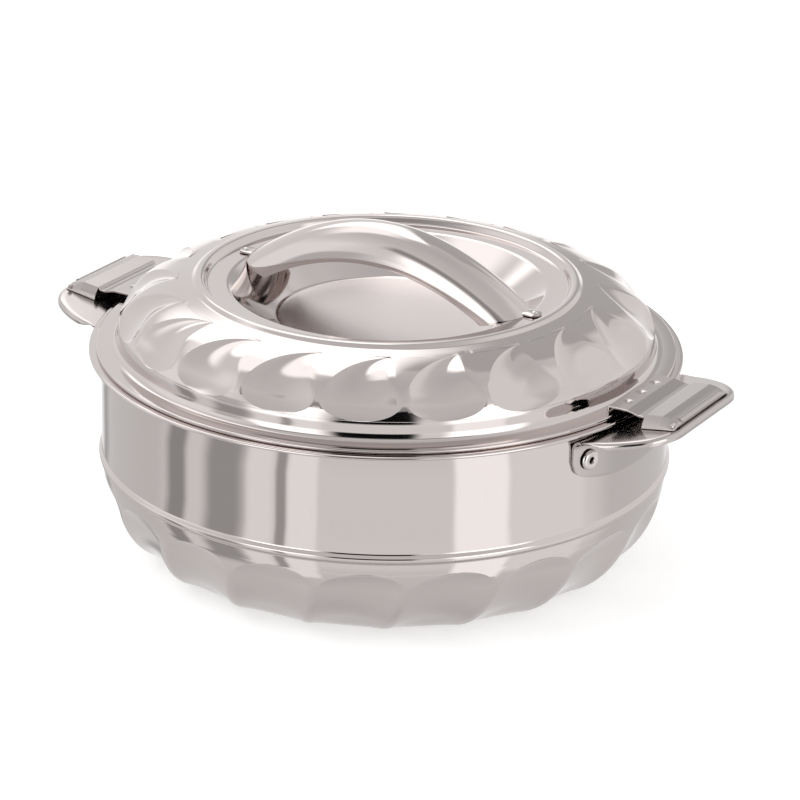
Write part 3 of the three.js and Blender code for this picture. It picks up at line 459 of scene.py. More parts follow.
# the hollow's section from its left edge at 0 to its right edge at 1; a soft one runs out slowly to the right
def hollowSection(across, soft):
    rise = 1 - 0.2 * soft
    fall = 1 + soft
    crest = rise / (rise + fall)
    return (across / crest) ** rise * ((1 - across) / (1 - crest)) ** fall


# rows that stand closer where a rounded end begins
def closeRows(start, end, count):
    return [start + (end - start) * (k / count) ** 2 for k in range(1, count + 1)]


# how many columns of a sector stand on the plain skin left and right, and in the scoop
sideColumns = 2
scoopColumns = 17
sectorColumns = scoopColumns + 2 * sideColumns


def columnPlace(column, left, right):
    if column <= sideColumns:
        return left * column / sideColumns
    if column >= sideColumns + scoopColumns:
        return right + (1 - right) * (column - sideColumns - scoopColumns) / sideColumns
    return left + (right - left) * (column - sideColumns) / scoopColumns


# radius, height and share of the sector for a column of a scooped row
def scoopedPlace(shape, degrees, rise, column, edges, soft):
    left, right, depth = edges(shape, degrees)
    share = columnPlace(column, left, right)
    radius, height, normal = ellipseRow(shape, degrees, rise)
    if depth > 0 and left < share < right:
        hollow = depth * hollowSection((share - left) / (right - left), soft)
        radius -= hollow * normal.x
        height -= hollow * normal.y
    return radius, height, share


# repeats a sector round the axis, turns its faces outwards and gives it the sheet's thickness
def closeSkin(skin, shape, probe, way):
    repeatRound(skin, shape["flutes"])
    faceTowards(skin, probe, way)
    addThickness(skin, shape["sheet"])
    smoothFaces(skin, degrees=22)


def buildLidSkin(shape):
    foot = shape["middleRadius"] + shape["across"]
    # profiles hold (radius, height, corner radius) in millimetres, from the outside in
    outside = roundedPath([
        (shape["flange"] - shape["hem"], shape["hemBottom"], 0),
        (shape["flange"], shape["hemBottom"], shape["edgeRound"]),
        (shape["flange"], shape["flangeTop"], shape["edgeRound"]),
        (foot + shape["groove"] + 0.5, shape["flangeTop"], 0)], steps=4)
    groove = [Vector((foot + shape["groove"], shape["flangeTop"])), Vector((foot, shape["flangeTop"])),
              Vector((foot, shape["grooveTop"]))]
    outside += [tuple(bezier(*groove, k / shape["grooveSteps"])) for k in range(shape["grooveSteps"] + 1)]
    outside.append((foot, shape["middleHeight"]))
    inside = roundedPath([
        ellipseRow(shape, shape["topDegrees"], 1)[:2] + (0,),
        (shape["ring"] + 3.4, shape["middleHeight"] + shape["up"] - 0.3, 1.6),
        (shape["ring"] + 1.5, shape["ringTop"] - 0.1, 2.0),
        (shape["ring"] - 1.6, shape["ringTop"] - 0.1, 2.0),
        (shape["ring"] - 3.2, shape["ledgeTop"], 1.4),
        (shape["ledge"] + 0.3, shape["ledgeTop"], 3.2),
        (shape["dish"] + 1.4, shape["dishFloor"], 3.5),
        (shape["dish"] - 9, shape["dishFloor"], 0),
        (shape["dish"] - 28, shape["dishFloor"], 0),
        (0, shape["dishFloor"], 0)], steps=4)[1:]
    # a row is a point of the plain sheet, or the degrees of a row that may be scooped
    rows = [*outside, 2, 4, 5.5, shape["endDegrees"]]
    rows += closeRows(shape["endDegrees"], shape["wideDegrees"], shape["endRows"])
    even = shape["evenShare"] * (shape["tipDegrees"] - shape["wideDegrees"])
    rows += [shape["wideDegrees"] + even * k / shape["evenRows"] for k in range(1, shape["evenRows"])]
    rows += closeRows(shape["tipDegrees"], shape["wideDegrees"] + even, shape["endRows"])[::-1]
    rows += [shape["tipDegrees"], shape["topDegrees"], *inside]
    pitch = 2 * math.pi / shape["flutes"]

    def place(column, row):
        value = rows[row]
        if isinstance(value, tuple):
            share = columnPlace(column, shape["land"], 1 - shape["land"])
            radius, height = value
        else:
            soft = shape["softEdge"] * smoothStep(shape["wideDegrees"], shape["wideDegrees"] + shape["softSpan"], value)
            radius, height, share = scoopedPlace(shape, value, 1, column, lidScoopEdges, soft)
        angle = radians(shape["turn"]) + share * pitch
        return radius * math.cos(angle), radius * math.sin(angle), height

    skin = gridPiece("lidSkin", sectorColumns, len(rows) - 1, place)
    closeSkin(skin, shape, (0, 0, shape["dishFloor"] * mm), (0, 0, 1))
    finishPiece(skin, "lid", lidSteel, "polished_steel", "lid_outer")


def buildBodySkin(shape):
    inFoot = shape["foot"] - shape["footWidth"]
    base = roundedPath([
        (shape["fillHole"], shape["baseRise"], 0),
        (inFoot - shape["baseStep"], shape["baseRise"], 1.5),
        (inFoot, 0, 1.5),
        (shape["foot"] - 1.5, 0, 0)])
    wallTop = roundedPath([
        (shape["wall"] - 0.3, shape["middleHeight"] + 0.2, 0),
        (shape["wall"] + 0.1, shape["beadHeight"] - 1.9, 0.8),
        (shape["bead"] + 0.2, shape["beadHeight"] - 0.7, 1.2),
        (shape["bead"] + 0.2, shape["beadHeight"] + 0.9, 1.2),
        (shape["wall"], shape["beadHeight"] + 2.3, 1.4),
        (shape["wall"], shape["beadHeight"] + 12, 0),
        (shape["wall"], shape["flangeBottom"] - 12, 0),
        (shape["wall"], shape["flangeBottom"], 1.2),
        (shape["flange"], shape["flangeBottom"], 0)])
    rows = base + [shape["baseDegrees"] - shape["rowDegrees"] * k for k in range(shape["evenRows"])]
    rows += closeRows(shape["startDegrees"], shape["wideDegrees"], shape["endRows"])[::-1]
    rows += [shape["startDegrees"], 4, 2, *wallTop]
    pitch = 2 * math.pi / shape["flutes"]

    def place(column, row):
        value = rows[row]
        plain = isinstance(value, tuple)
        degrees = (90 if row < len(base) else 0) if plain else value
        along = (degrees - shape["startDegrees"]) / (shape["endDegrees"] - shape["startDegrees"])
        twist = radians(shape["twist"]) * min(max(along, 0), 1)
        if plain:
            share = columnPlace(column, shape["land"], 1 - shape["land"])
            radius, height = value
        else:
            radius, height, share = scoopedPlace(shape, value, -1, column, bodyScoopEdges, 0)
        angle = radians(shape["turn"]) + twist + share * pitch
        return radius * math.cos(angle), radius * math.sin(angle), height

    skin = gridPiece("bodySkin", sectorColumns, len(rows) - 1, place)
    closeSkin(skin, shape, (shape["wall"] * mm, 0, 70 * mm), (1, 0, 0))
    finishPiece(skin, "base", mirrorSteel, "polished_steel", "outer_shell")


buildLidSkin(lidShape)
buildBodySkin(bodyShape)
print("scooped skins ready")


# the bowl with the thin ring of its rim, and the pan under the lid

bowlShape = {
    "floor": 18.8, "corner": 22, "foot": 113.5, "mouth": 117.5, "seat": 94.9, "sheet": 0.5,
    "ringMiddle": 133.5, "ringRadius": 0.8,
}


def buildBowl(shape):
    corner = shape["corner"]
    ringMiddle = (shape["ringMiddle"], shape["seat"] - shape["ringRadius"])
    profile = [(0, shape["floor"]), (30, shape["floor"]), (60, shape["floor"])]
    profile += arcPoints((shape["foot"] - corner, shape["floor"] + corner), corner, -90, 0, 14)
    profile += roundedPath([
        (shape["foot"] + 0.1, shape["floor"] + corner + 1, 0),
        (shape["mouth"], shape["seat"], 1.8),
        (shape["ringMiddle"] - 1.0, shape["seat"], 0)])[1:]
    profile += arcPoints(ringMiddle, shape["ringRadius"], 90, -80, 14)
    bowl = turnedPiece("bowlSkin", profile, steps=200)
    faceTowards(bowl, probe=(0.02, 0, shape["floor"] * mm), way=(0, 0, 1))
    addThickness(bowl, shape["sheet"])
    smoothFaces(bowl, degrees=35)
    finishPiece(bowl, "base", mirrorSteel, "polished_steel", "inner_bowl")


panShape = {"radius": 116, "bottom": 85.8, "corner": 4, "flange": 127.4, "flangeBottom": 95.2, "sheet": 0.5}


def buildLidPan(shape):
    profile = roundedPath([
        (0, shape["bottom"], 0),
        (60, shape["bottom"], 0),
        (shape["radius"], shape["bottom"], shape["corner"]),
        (shape["radius"], shape["flangeBottom"], 0.8),
        (shape["flange"], shape["flangeBottom"], 0)], steps=8)
    pan = turnedPiece("lidPan", profile, steps=160)
    faceTowards(pan, probe=(0.02, 0, shape["bottom"] * mm), way=(0, 0, -1))
    addThickness(pan, shape["sheet"])
    smoothFaces(pan, degrees=35)
    finishPiece(pan, "lid", linerSteel, "polished_steel", "lid_inner")


buildBowl(bowlShape)
buildLidPan(panShape)
print("bowl and pan ready")


# lid handle: a half-round strap in an arch, with a tongue at each end

archShape = {
    "halfWidth": 14.5, "crown": 16, "rise": 28.3, "reach": 73, "endGap": 0.4, "endSlope": 0.3,
    "ledgeTop": 124.0, "seat": 124.3, "sheet": 0.9,
    "tongueWidth": 7.5, "tongueInner": 64, "tongueOuter": 78.3, "tongueCorner": 3,
    "rivet": 75.6, "rivetHead": 1.5, "rivetShank": 1.0,
}


def buildArch(shape):
    lengthSteps = 96
    aroundSteps = 32

    # each end is cut on a slope, down to where the sides dip into the dish
    def place(column, row):
        x = (shape["reach"] - shape["endGap"]) * math.sin(math.pi * (column / lengthSteps - 0.5))
        edge = shape["ledgeTop"] + shape["rise"] - shape["crown"] - shape["rise"] * (x / shape["reach"]) ** 2
        cut = shape["seat"] - shape["endSlope"] * (shape["reach"] - abs(x))
        first = math.asin(min(max((cut - edge) / shape["crown"], 0), 1))
        angle = first + (math.pi - 2 * first) * row / aroundSteps
        return x, -shape["halfWidth"] * math.cos(angle), edge + shape["crown"] * math.sin(angle)

    arch = gridPiece("lidArch", lengthSteps, aroundSteps, place)
    mergeDoubles(arch, distance=1e-5)
    faceTowards(arch, probe=(0, 0, 0.2), way=(0, 0, 1))
    addThickness(arch, shape["sheet"])
    roundEdges(arch, width=0.25, degrees=60)
    for way in (-1, 1):
        middle = way * (shape["tongueInner"] + shape["tongueOuter"]) / 2
        height = shape["seat"] + shape["sheet"] / 2
        bpy.ops.mesh.primitive_cube_add(size=1, location=(middle * mm, 0, height * mm))
        tongue = bpy.context.active_object
        tongue.scale = ((shape["tongueOuter"] - shape["tongueInner"]) * mm,
                        shape["tongueWidth"] * mm, shape["sheet"] * mm)
        bpy.ops.object.transform_apply(location=True, rotation=True, scale=True)
        bpy.ops.object.mode_set(mode="EDIT")
        bpy.ops.mesh.select_mode(type="EDGE")
        bpy.ops.mesh.select_all(action="DESELECT")
        endEdit()
        for edge in tongue.data.edges:
            a, b = (tongue.data.vertices[i].co for i in edge.vertices)
            upright = abs(a.z - b.z) > 0.5 * shape["sheet"] * mm
            edge.select = upright and abs(a.x) > (shape["tongueInner"] + 2) * mm
        bpy.ops.object.mode_set(mode="EDIT")
        bpy.ops.mesh.bevel(offset=shape["tongueCorner"] * mm, segments=6)
        bpy.ops.mesh.select_mode(type="VERT")
        endEdit()
        roundEdges(tongue, width=0.2)
        joinInto(arch, tongue)
    smoothFaces(arch, degrees=30)
    finishPiece(arch, "lid", mirrorSteel, "polished_steel", "lid_handle")
    foot = shape["seat"] + shape["sheet"]
    tail = shape["ledgeTop"] - shape["sheet"] - 0.3
    head = shape["rivetHead"]
    profile = [
        (0, tail - 0.8), (head - 0.4, tail - 0.8), (head, tail - 0.4), (head, tail), (shape["rivetShank"], tail),
        (shape["rivetShank"], foot), (head, foot)]
    profile += [(head * out, foot + up) for out, up in ((0.97, 0.25), (0.85, 0.5), (0.6, 0.7), (0.3, 0.78), (0, 0.8))]
    for side, name in ((-1, "left"), (1, "right")):
        rivet = turnedPiece("archRivet." + name, profile, steps=32)
        placeMesh(rivet, (side * shape["rivet"], 0, 0))
        smoothFaces(rivet, degrees=40)
        finishPiece(rivet, "lid", fastenerSteel, "fastener_steel", "lid_handle_rivet_" + name)


buildArch(archShape)
print("lid handle ready")


# side handles: one sheet, up the wall, over a fold and out as a ledge with its edge turned down

handleShape = {
    "sheet": 1.2, "inner": 129.1, "halfAngle": 21, "rimHeight": 98, "middleDrop": 30, "endDrop": 23,
    "slope": 0.158, "rootTop": 92, "outer": 130.3, "fold": 5.4, "cornerRadius": 5,
    "reach": 161.5, "edgeHalf": 22, "cornerBack": 7, "cornerHalf": 38, "pullHalf": 31.5,
    "sweepBack": 17.5, "sweepHalf": 47.5, "ledgeMiddle": 140, "lip": 3, "lipRound": 1.8,
    "rootGap": 0.4, "roundTaper": 4, "lipTaper": 9, "leastLip": 0.02,    # how the lip runs out at the two roots
}


def ledgeHeight(shape, x):
    return shape["rootTop"] + (x - shape["outer"]) * shape["slope"]


# the ledge's outline in plan, from its back root round to its front root
def ledgeOutline(shape):
    half = radians(shape["halfAngle"])
    rootRadius = shape["inner"] + shape["fold"] + shape["rootGap"]
    root = Vector((rootRadius * math.cos(half), rootRadius * math.sin(half)))
    reach = shape["reach"]
    corner = Vector((reach - shape["cornerBack"], shape["cornerHalf"]))
    sweep = Vector((reach - shape["sweepBack"], shape["sweepHalf"]))
    pull = Vector((reach, shape["pullHalf"]))
    end = Vector((reach, shape["edgeHalf"]))
    side = [bezier(root, sweep, corner, k / 16) for k in range(16)]
    side += [bezier(corner, pull, end, k / 12) for k in range(12)]
    straight = [end.lerp(Vector((reach, -end.y)), k / 16) for k in range(17)]
    otherSide = [Vector((point.x, -point.y)) for point in side]
    return side + straight + otherSide[::-1]


def buildHandle(shape):
    outline = ledgeOutline(shape)
    lengths = [0]
    for a, b in zip(outline, outline[1:]):
        lengths.append(lengths[-1] + (b - a).length)
    columns = len(outline) - 1
    half = radians(shape["halfAngle"])
    flangeSteps = 10
    foldSteps = 8
    ledgeSteps = 12
    lipSteps = 8
    bendSteps = 6
    rows = flangeSteps + foldSteps + ledgeSteps + lipSteps
    normals = []
    for i in range(columns + 1):
        a = outline[max(i - 1, 0)]
        b = outline[min(i + 1, columns)]
        way = (b - a).normalized()
        normals.append(Vector((-way.y, way.x)))
    middle = Vector((shape["ledgeMiddle"], 0))
    normals = [n if n.dot(outline[i] - middle) > 0 else -n for i, n in enumerate(normals)]

    def place(column, row):
        share = 1 - 2 * lengths[column] / lengths[-1]
        angle = share * half
        way = Vector((math.cos(angle), math.sin(angle)))
        foldOut = shape["inner"] + shape["fold"]
        top = ledgeHeight(shape, foldOut * way.x)
        drop = shape["middleDrop"] + (shape["endDrop"] - shape["middleDrop"]) * abs(share) ** 3
        fromEnd = (1 - abs(share)) * half * shape["inner"]
        if fromEnd < shape["cornerRadius"]:
            gap = shape["cornerRadius"] - fromEnd
            drop -= shape["cornerRadius"] - math.sqrt(max(shape["cornerRadius"] ** 2 - gap ** 2, 0))
        if row <= flangeSteps:
            low = shape["rimHeight"] - drop
            high = top - shape["fold"]
            height = low + (high - low) * row / flangeSteps
            spot = way * shape["inner"]
            return spot.x, spot.y, height
        row -= flangeSteps
        if row <= foldSteps:
            bend = math.pi / 2 * row / foldSteps
            spot = way * (shape["inner"] + shape["fold"] * (1 - math.cos(bend)))
            return spot.x, spot.y, top - shape["fold"] * (1 - math.sin(bend))
        row -= foldSteps
        start = way * foldOut
        normal = normals[column]
        lipRound = shape["lipRound"] * min(1, fromEnd / shape["roundTaper"])
        end = outline[column] - normal * lipRound
        if row <= ledgeSteps:
            spot = start.lerp(end, row / ledgeSteps)
            return spot.x, spot.y, ledgeHeight(shape, spot.x)
        row -= ledgeSteps
        depth = shape["lip"] * smoothStep(0, shape["lipTaper"], fromEnd) + shape["leastLip"]
        bend = math.pi / 2 * min(row / bendSteps, 1)
        roundRadius = min(lipRound, depth)
        spot = end + normal * roundRadius * math.sin(bend)
        height = ledgeHeight(shape, end.x) - roundRadius * (1 - math.cos(bend))
        if row > bendSteps:
            height -= (depth - roundRadius) * (row - bendSteps) / (lipSteps - bendSteps)
        return spot.x, spot.y, height

    handle = gridPiece("sideHandle.right", columns, rows, place)
    mergeDoubles(handle)
    faceTowards(handle, probe=(0.150, 0, ledgeHeight(shape, 150) * mm), way=(0, 0, 1))
    addThickness(handle, shape["sheet"])
    roundEdges(handle, width=0.3)
    smoothFaces(handle, degrees=35)
    twin = copyPiece(handle, "sideHandle.left", 180)
    finishPiece(handle, "base", handleSteel, "handle_steel", "handle_right")
    finishPiece(twin, "base", handleSteel, "handle_steel", "handle_left")


buildHandle(handleShape)
print("side handles ready")


# rivets of the side handles: a domed ring round the hole that the drawn pin left

rivetShape = {
    "angle": 16.9, "height": 80, "headFoot": 130.6, "headRadius": 4.75, "headHeight": 1.8, "bore": 1.45,
    "boreDepth": 3.5, "shank": 2.4, "tail": 3.6, "tailStart": 126.3, "tailLength": 2.4,
}


def buildRivets(shape):
    foot = shape["headFoot"]
    head = shape["headRadius"]
    crest = (head + shape["bore"]) / 2
    tailEnd = shape["tailStart"] - shape["tailLength"]
    domeSteps = 9
    dome = []
    for step in range(domeSteps + 1):
        angle = math.pi / 2 * step / domeSteps
        up = 0.2 + (shape["headHeight"] - 0.2) * math.sin(angle)
        dome.append((crest + (head - crest) * math.cos(angle), foot + up))
    profile = [(0, tailEnd), (shape["tail"] - 0.5, tailEnd), (shape["tail"], tailEnd + 0.5),
               (shape["tail"], shape["tailStart"]), (shape["shank"], shape["tailStart"]),
               (shape["shank"], foot), (head, foot)] + dome
    top = foot + shape["headHeight"]
    profile += [(shape["bore"] + 0.25, top - 0.25), (shape["bore"], top - 0.6),
                (shape["bore"], foot - shape["boreDepth"]), (0, foot - shape["boreDepth"])]
    rivet = turnedPiece("handleRivet", profile, steps=40)
    placeMesh(rivet, (0, 0, shape["height"]), "Y")
    smoothFaces(rivet, degrees=40)
    places = {"right_front": -shape["angle"], "right_back": shape["angle"],
              "left_back": 180 - shape["angle"], "left_front": 180 + shape["angle"]}
    for name, degrees in places.items():
        copy = copyPiece(rivet, "handleRivet." + name, degrees)
        finishPiece(copy, "base", rivetSteel, "fastener_steel", "handle_rivet_" + name)
    bpy.data.objects.remove(rivet)


buildRivets(rivetShape)
print("rivets ready")


# latches: a lip over the lid's flange, a valley, a raised cover and a barrel round the pin

latchShape = {
    "sheet": 0.8, "halfWidth": 22.5, "endSlope": 3.5, "endPower": 1.6, "footRise": 0.3,
    "lipInner": 124.6, "lipOuter": 134.2, "lipTop": 99.7, "lipEdge": 2.4, "valley": 140.2, "valleyTop": 98.5,
    "coverInner": 142.8, "coverInnerTop": 99.6, "coverOuter": 154.7, "coverOuterTop": 100.6,
    "pinPlace": 157.1, "pinHeight": 98.234, "pinRadius": 0.9, "pinHalf": 26.2, "barrel": 1.65, "barrelHalf": 19.0,
    "pipDepth": 0.5, "pipRadius": 2.4, "pipFlat": 0.15, "pipSpacing": 13, "pathStep": 0.6,
}


def latchPath(shape):
    return roundedPath([
        (shape["lipInner"] - 0.1, shape["lipTop"] - shape["lipEdge"], 0),
        (shape["lipInner"], shape["lipTop"], 0.8),
        (shape["lipInner"] + 3, shape["lipTop"], 0),
        (shape["lipInner"] + 6.6, shape["lipTop"], 0),
        (shape["lipOuter"], shape["lipTop"], 2.5),
        (shape["valley"] - 0.6, shape["valleyTop"], 1.2),
        (shape["coverInner"] - 0.6, shape["valleyTop"], 0.5),
        (shape["coverInner"], shape["coverInnerTop"], 0.7),
        (shape["coverOuter"] - 3.4, shape["coverOuterTop"], 1.5),
        (shape["coverOuter"], shape["coverOuterTop"] - 0.3, 1.5),
        (shape["pinPlace"] + shape["barrel"] * 0.9, shape["pinHeight"] + 0.6, 0.8),
        (shape["pinPlace"] + shape["barrel"], shape["pinHeight"] - 1.0, 0)])


def buildLatch(shape):
    path = latchPath(shape)
    fine = [path[0]]
    for a, b in zip(path, path[1:]):
        pieces = max(1, math.ceil((Vector(b) - Vector(a)).length / shape["pathStep"]))
        fine += [tuple(Vector(a).lerp(Vector(b), k / pieces)) for k in range(1, pieces + 1)]
    columns = 84
    endRows = 8
    lipMiddle = (shape["lipInner"] + shape["lipOuter"]) / 2

    def place(column, row):
        x, z = fine[row]
        y = -shape["halfWidth"] + 2 * shape["halfWidth"] * column / columns
        for way in (-1, 0, 1):
            away = math.hypot(x - lipMiddle, y - way * shape["pipSpacing"]) / shape["pipRadius"]
            z -= shape["pipDepth"] * (1 - smoothStep(shape["pipFlat"], 1, away))
        return x, y, z

    latch = gridPiece("latch.right", columns, len(fine) - 1, place)
    faceTowards(latch, probe=(0.148, 0, 0.1005), way=(0, 0, 1))
    cover = [point for point in fine if point[0] > shape["coverInner"] + 0.2]
    for way in (-1, 1):
        def endPlace(column, row, way=way):
            x, z = cover[column]
            foot = ledgeHeight(handleShape, x) + shape["footRise"]
            share = row / endRows
            lean = shape["endSlope"] * (1 - (1 - share) ** shape["endPower"])
            return x, way * (shape["halfWidth"] + lean), z + (min(foot, z) - z) * share

        flap = gridPiece("latchEnd", len(cover) - 1, endRows, endPlace)
        faceTowards(flap, probe=(0.15, way * 0.025, 0.098), way=(0, way, 0.3))
        joinInto(latch, flap)
    mergeDoubles(latch, distance=5e-6)
    addThickness(latch, shape["sheet"])
    roundEdges(latch, width=0.22)
    half = shape["barrelHalf"]
    sides = [(0, -half), (shape["barrel"], -half), (shape["barrel"], half), (0, half)]
    barrel = turnedPiece("barrel", sides, steps=32)
    hinge = (shape["pinPlace"], 0, shape["pinHeight"])
    placeMesh(barrel, hinge, "X")
    joinInto(latch, barrel)
    smoothFaces(latch, degrees=30)
    twin = copyPiece(latch, "latch.left", 180)
    finishPiece(latch, "latch_right", latchSteel, "latch_steel", "latch_right")
    finishPiece(twin, "latch_left", latchSteel, "latch_steel", "latch_left")
    half = shape["pinHalf"]
    pin = turnedPiece("latchPin.right", [
        (0, -half), (shape["pinRadius"] - 0.3, -half), (shape["pinRadius"], -half + 0.3),
        (shape["pinRadius"], half - 0.3), (shape["pinRadius"] - 0.3, half), (0, half)], steps=24)
    placeMesh(pin, hinge, "X")
    smoothFaces(pin, degrees=40)
    otherPin = copyPiece(pin, "latchPin.left", 180)
    finishPiece(pin, "base", fastenerSteel, "fastener_steel", "latch_pin_right")
    finishPiece(otherPin, "base", fastenerSteel, "fastener_steel", "latch_pin_left")


buildLatch(latchShape)
print("latches ready")


# stage: floor, surroundings, lamp, camera

stageSettings = {
    "floorSize": 8.0,
    "floorColour": (0.80, 0.80, 0.80, 1),
    "floorGlow": 0.50,
    "roomLevel": 0.85,
    "frontAzimuth": 30.6,           # side of the object that faces the photograph
    "keyPower": 6.0,
    "keySize": (1.2, 0.9),
    "keyPlace": (-0.9, -1.0, 1.5),
    "keyAim": (0, 0, 0.06),
}

cameraSettings = {
    "aim": (0, 0, 0.098),           # a point near the middle of the rim
    "distance": 1.620,
    "azimuth": 30.6,
    "elevation": 20.86,
    "roll": 1.06,
    "lens": 161.1,
    "sensor": 36,
    "aimPixel": (386.4, 336.7),     # where that point stands in the picture
    "picture": 800,                 # pixels along each side of the picture
}


def addCamera(settings):
    data = bpy.data.cameras.new("camera")
    data.lens = settings["lens"]
    data.sensor_width = settings["sensor"]
    data.clip_start = 0.05
    data.clip_end = 30
    camera = bpy.data.objects.new("camera", data)
    bpy.context.scene.collection.objects.link(camera)
    azimuth = radians(settings["azimuth"])
    elevation = radians(settings["elevation"])
    back = Vector((math.sin(azimuth) * math.cos(elevation),
                   -math.cos(azimuth) * math.cos(elevation),
                   math.sin(elevation)))
    place = Vector(settings["aim"]) + back * settings["distance"]
    turn = back.to_track_quat("Z", "Y").to_matrix().to_4x4()
    turn = turn @ Matrix.Rotation(radians(settings["roll"]), 4, "Z")
    focal = settings["lens"] / settings["sensor"] * settings["picture"]
    middle = settings["picture"] / 2
    x, y = settings["aimPixel"]
    towards = Vector(((middle - x) / focal, -(middle - y) / focal, -1))
    swing = Vector((0, 0, -1)).rotation_difference(towards).to_matrix().to_4x4()
    camera.matrix_world = Matrix.Translation(place) @ turn @ swing
    bpy.context.scene.camera = camera


# 1 for rays from the camera and through glass
def cameraOrGlass(tree, rays):
    return calculate(tree, "MAXIMUM", rays["Is Camera Ray"], rays["Is Transmission Ray"])


# the paper under the object: white to the camera but for the object's soft shadow
def addFloor(settings):
    bpy.ops.mesh.primitive_plane_add(size=settings["floorSize"], location=(0, 0, 0))
    floor = bpy.context.active_object
    floor.name = "floor"
    material = bpy.data.materials.new("floorPaper")
    material.use_nodes = True
    tree = material.node_tree
    tree.nodes.remove(tree.nodes["Principled BSDF"])
    rays = addNode(tree, "LightPath").outputs
    paper = addNode(tree, "BsdfDiffuse", {"Color": settings["floorColour"]}).outputs["BSDF"]
    glow = addNode(tree, "Emission", {"Strength": settings["floorGlow"]}).outputs["Emission"]
    lit = addNode(tree, "AddShader", {0: paper, 1: glow}).outputs["Shader"]
    seen = addNode(tree, "MixShader", {"Fac": cameraOrGlass(tree, rays), 1: paper, 2: lit}).outputs["Shader"]
    # steel sees the studio below the horizon through the paper
    clear = addNode(tree, "BsdfTransparent").outputs["BSDF"]
    mirrored = addNode(tree, "MixShader", {"Fac": rays["Is Glossy Ray"], 1: seen, 2: clear})
    tree.links.new(mirrored.outputs["Shader"], tree.nodes["Material Output"].inputs["Surface"])
    floor.data.materials.append(material)


# a soft-edged patch of the studio, in degrees round and above the object
def makeCardGroup():
    labels = ("Azimuth", "Elevation", "Middle", "Half Width", "Low", "High", "Softness")
    group, given, out = newGroup("studioCard", dict.fromkeys(labels, 0), ("Mask",))

    def fadeIn(value, edge):
        return addNode(group, "MapRange", {
            "Value": value, "From Min": calculate(group, "SUBTRACT", edge, given["Softness"]),
            "From Max": calculate(group, "ADD", edge, given["Softness"])},
            interpolation_type="SMOOTHSTEP").outputs["Result"]

    away = calculate(group, "SUBTRACT", given["Azimuth"], given["Middle"])
    away = calculate(group, "ABSOLUTE", calculate(group, "WRAP", away, 180, -180))
    inWidth = calculate(group, "SUBTRACT", 1, fadeIn(away, given["Half Width"]))
    above = fadeIn(given["Elevation"], given["Low"])
    below = calculate(group, "SUBTRACT", 1, fadeIn(given["Elevation"], given["High"]))
    group.links.new(calculate(group, "MULTIPLY", calculate(group, "MULTIPLY", inWidth, above), below), out["Mask"])
    return group


# level of the plain studio from straight down to straight up, as (elevation, level)
studioLevels = [(-90, 0.62), (-60, 0.70), (-38, 0.76), (-20, 0.88), (-6, 0.94), (10, 0.90), (35, 0.86), (60, 0.71),
                (90, 0.63)]

# patches of the studio: azimuth from and to, elevation from and to, level, softness;
# azimuth 0 is the side that the photograph is taken from, and grows to the right;
# where two meet, the later one lies over the earlier
studioCards = [
    ("backShade", 141, 176, 36, 64, 0.54, 3),
    ("backShadeFoot", 153, 176, 4, 40, 0.54, 4),
    ("backWindow", 177, 216, 28, 73, 1.9, 4),
    ("sideWindow", 208, 250, 42, 70, 1.5, 7),
    ("backGlow", 160, 200, -14, 6, 1.25, 5),
    ("rightHaze", 72, 122, 28, 60, 0.92, 8),
    ("leftHaze", -112, -68, -12, 32, 1.06, 7),
    ("leftSoftbox", -54, -26, -12, 30, 1.9, 4),
    ("leftSoftboxFoot", -56, -38, -13, 4, 1.8, 4),
    ("leftGap", -74, -60, -10, 8, 0.62, 3),
    ("rightSoftbox", 26, 59, -13, 33, 1.9, 4),
    ("frontBand", -62, 42, 34, 46, 0.36, 4),
    ("frontDark", -21, 13, -9, 35, 0.004, 3),
    ("floorFarLeft", -160, -148, -36, -12, 0.42, 5),
    ("floorLeft", -150, -98, -36, -12, 0.70, 8),
    ("floorShadeOne", -97, -86, -34, -10, 0.36, 3),
    ("floorLightOne", -85, -77, -34, -12, 0.84, 3),
    ("floorShadeTwo", -76, -58, -34, -12, 0.40, 4),
    ("floorLightTwo", -56, -45, -40, -12, 1.00, 2),
    ("floorLine", -43.5, -39, -36, -12, 0.42, 1),
    ("floorLightThree", -38.5, -26.5, -40, -12, 1.08, 1.5),
    ("floorBright", 28.5, 52, -42, -12, 1.30, 1.4),
    ("floorRight", 52, 88, -36, -12, 0.97, 3),
    ("floorFarRight", 98, 160, -38, -12, 0.70, 8),
]


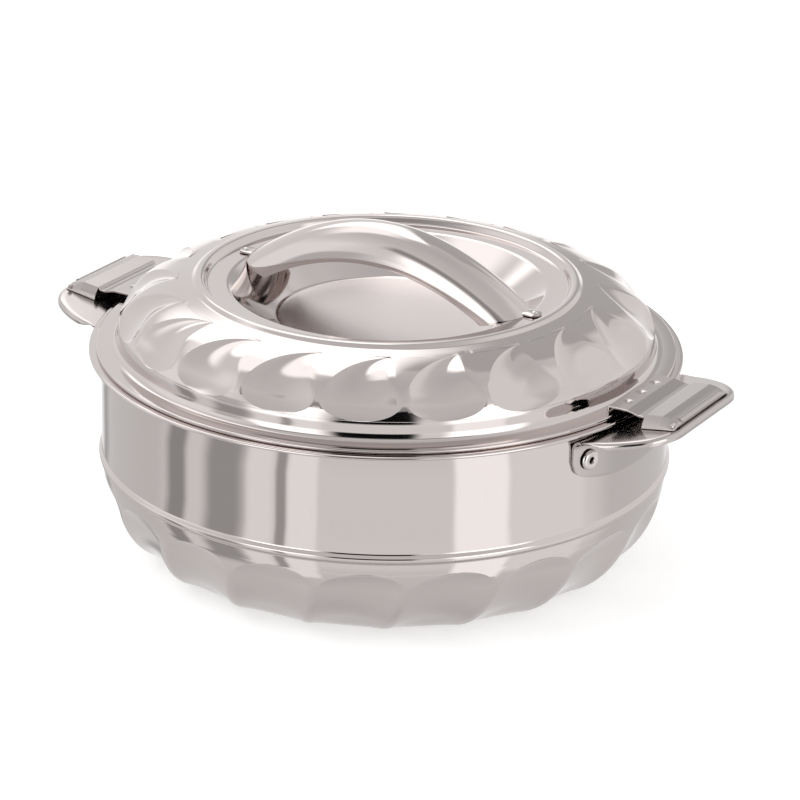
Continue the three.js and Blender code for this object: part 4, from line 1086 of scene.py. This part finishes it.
def addWorld(settings):
    world = bpy.data.worlds.new("studio")
    bpy.context.scene.world = world
    world.use_nodes = True
    tree = world.node_tree
    shader = tree.nodes["Background"]
    shader.inputs["Color"].default_value = (1, 1, 1, 1)
    way = addNode(tree, "SeparateXYZ", {"Vector": addNode(tree, "TexCoord").outputs["Generated"]}).outputs
    azimuth = calculate(tree, "DEGREES", calculate(tree, "ARCTAN2", way["Y"], way["X"]))
    azimuth = calculate(tree, "SUBTRACT", azimuth, settings["frontAzimuth"] - 90)
    elevation = calculate(tree, "DEGREES", calculate(tree, "ARCSINE", way["Z"]))
    height = addNode(tree, "MapRange", {"Value": elevation, "From Min": -90, "From Max": 90})
    plain = addNode(tree, "ValToRGB", {"Fac": height.outputs["Result"]})
    plain.color_ramp.interpolation = "EASE"
    for k, (degrees, level) in enumerate(studioLevels):
        share = (degrees + 90) / 180
        stop = plain.color_ramp.elements[k] if k < 2 else plain.color_ramp.elements.new(share)
        stop.position = share
        stop.color = (level, level, level, 1)
    level = plain.outputs["Color"]
    cardGroup = makeCardGroup()
    for name, left, right, low, high, strength, softness in studioCards:
        card = addNode(tree, "Group", {
            "Azimuth": azimuth, "Elevation": elevation, "Middle": (left + right) / 2,
            "Half Width": (right - left) / 2, "Low": low, "High": high, "Softness": softness},
            node_tree=cardGroup, label=name)
        level = addNode(tree, "Mix", {"Factor": card.outputs["Mask"], "A": level, "B": strength}).outputs["Result"]
    rays = addNode(tree, "LightPath").outputs
    mirrored = addNode(tree, "Mix", {"Factor": rays["Is Glossy Ray"], "A": settings["roomLevel"], "B": level})
    seen = addNode(tree, "Mix", {"Factor": cameraOrGlass(tree, rays), "A": mirrored.outputs["Result"], "B": 1})
    tree.links.new(seen.outputs["Result"], shader.inputs["Strength"])


def addLamp(settings):
    data = bpy.data.lights.new("keyLamp", "AREA")
    data.energy = settings["keyPower"]
    data.shape = "RECTANGLE"
    data.size, data.size_y = settings["keySize"]
    lamp = bpy.data.objects.new("keyLamp", data)
    bpy.context.scene.collection.objects.link(lamp)
    lamp.location = settings["keyPlace"]
    away = Vector(settings["keyAim"]) - Vector(settings["keyPlace"])
    lamp.rotation_euler = away.to_track_quat("-Z", "Y").to_euler()
    lamp.visible_glossy = False


addCamera(cameraSettings)
addFloor(stageSettings)
addWorld(stageSettings)
addLamp(stageSettings)
bpy.context.scene.view_settings.view_transform = "Standard"
print("stage ready")
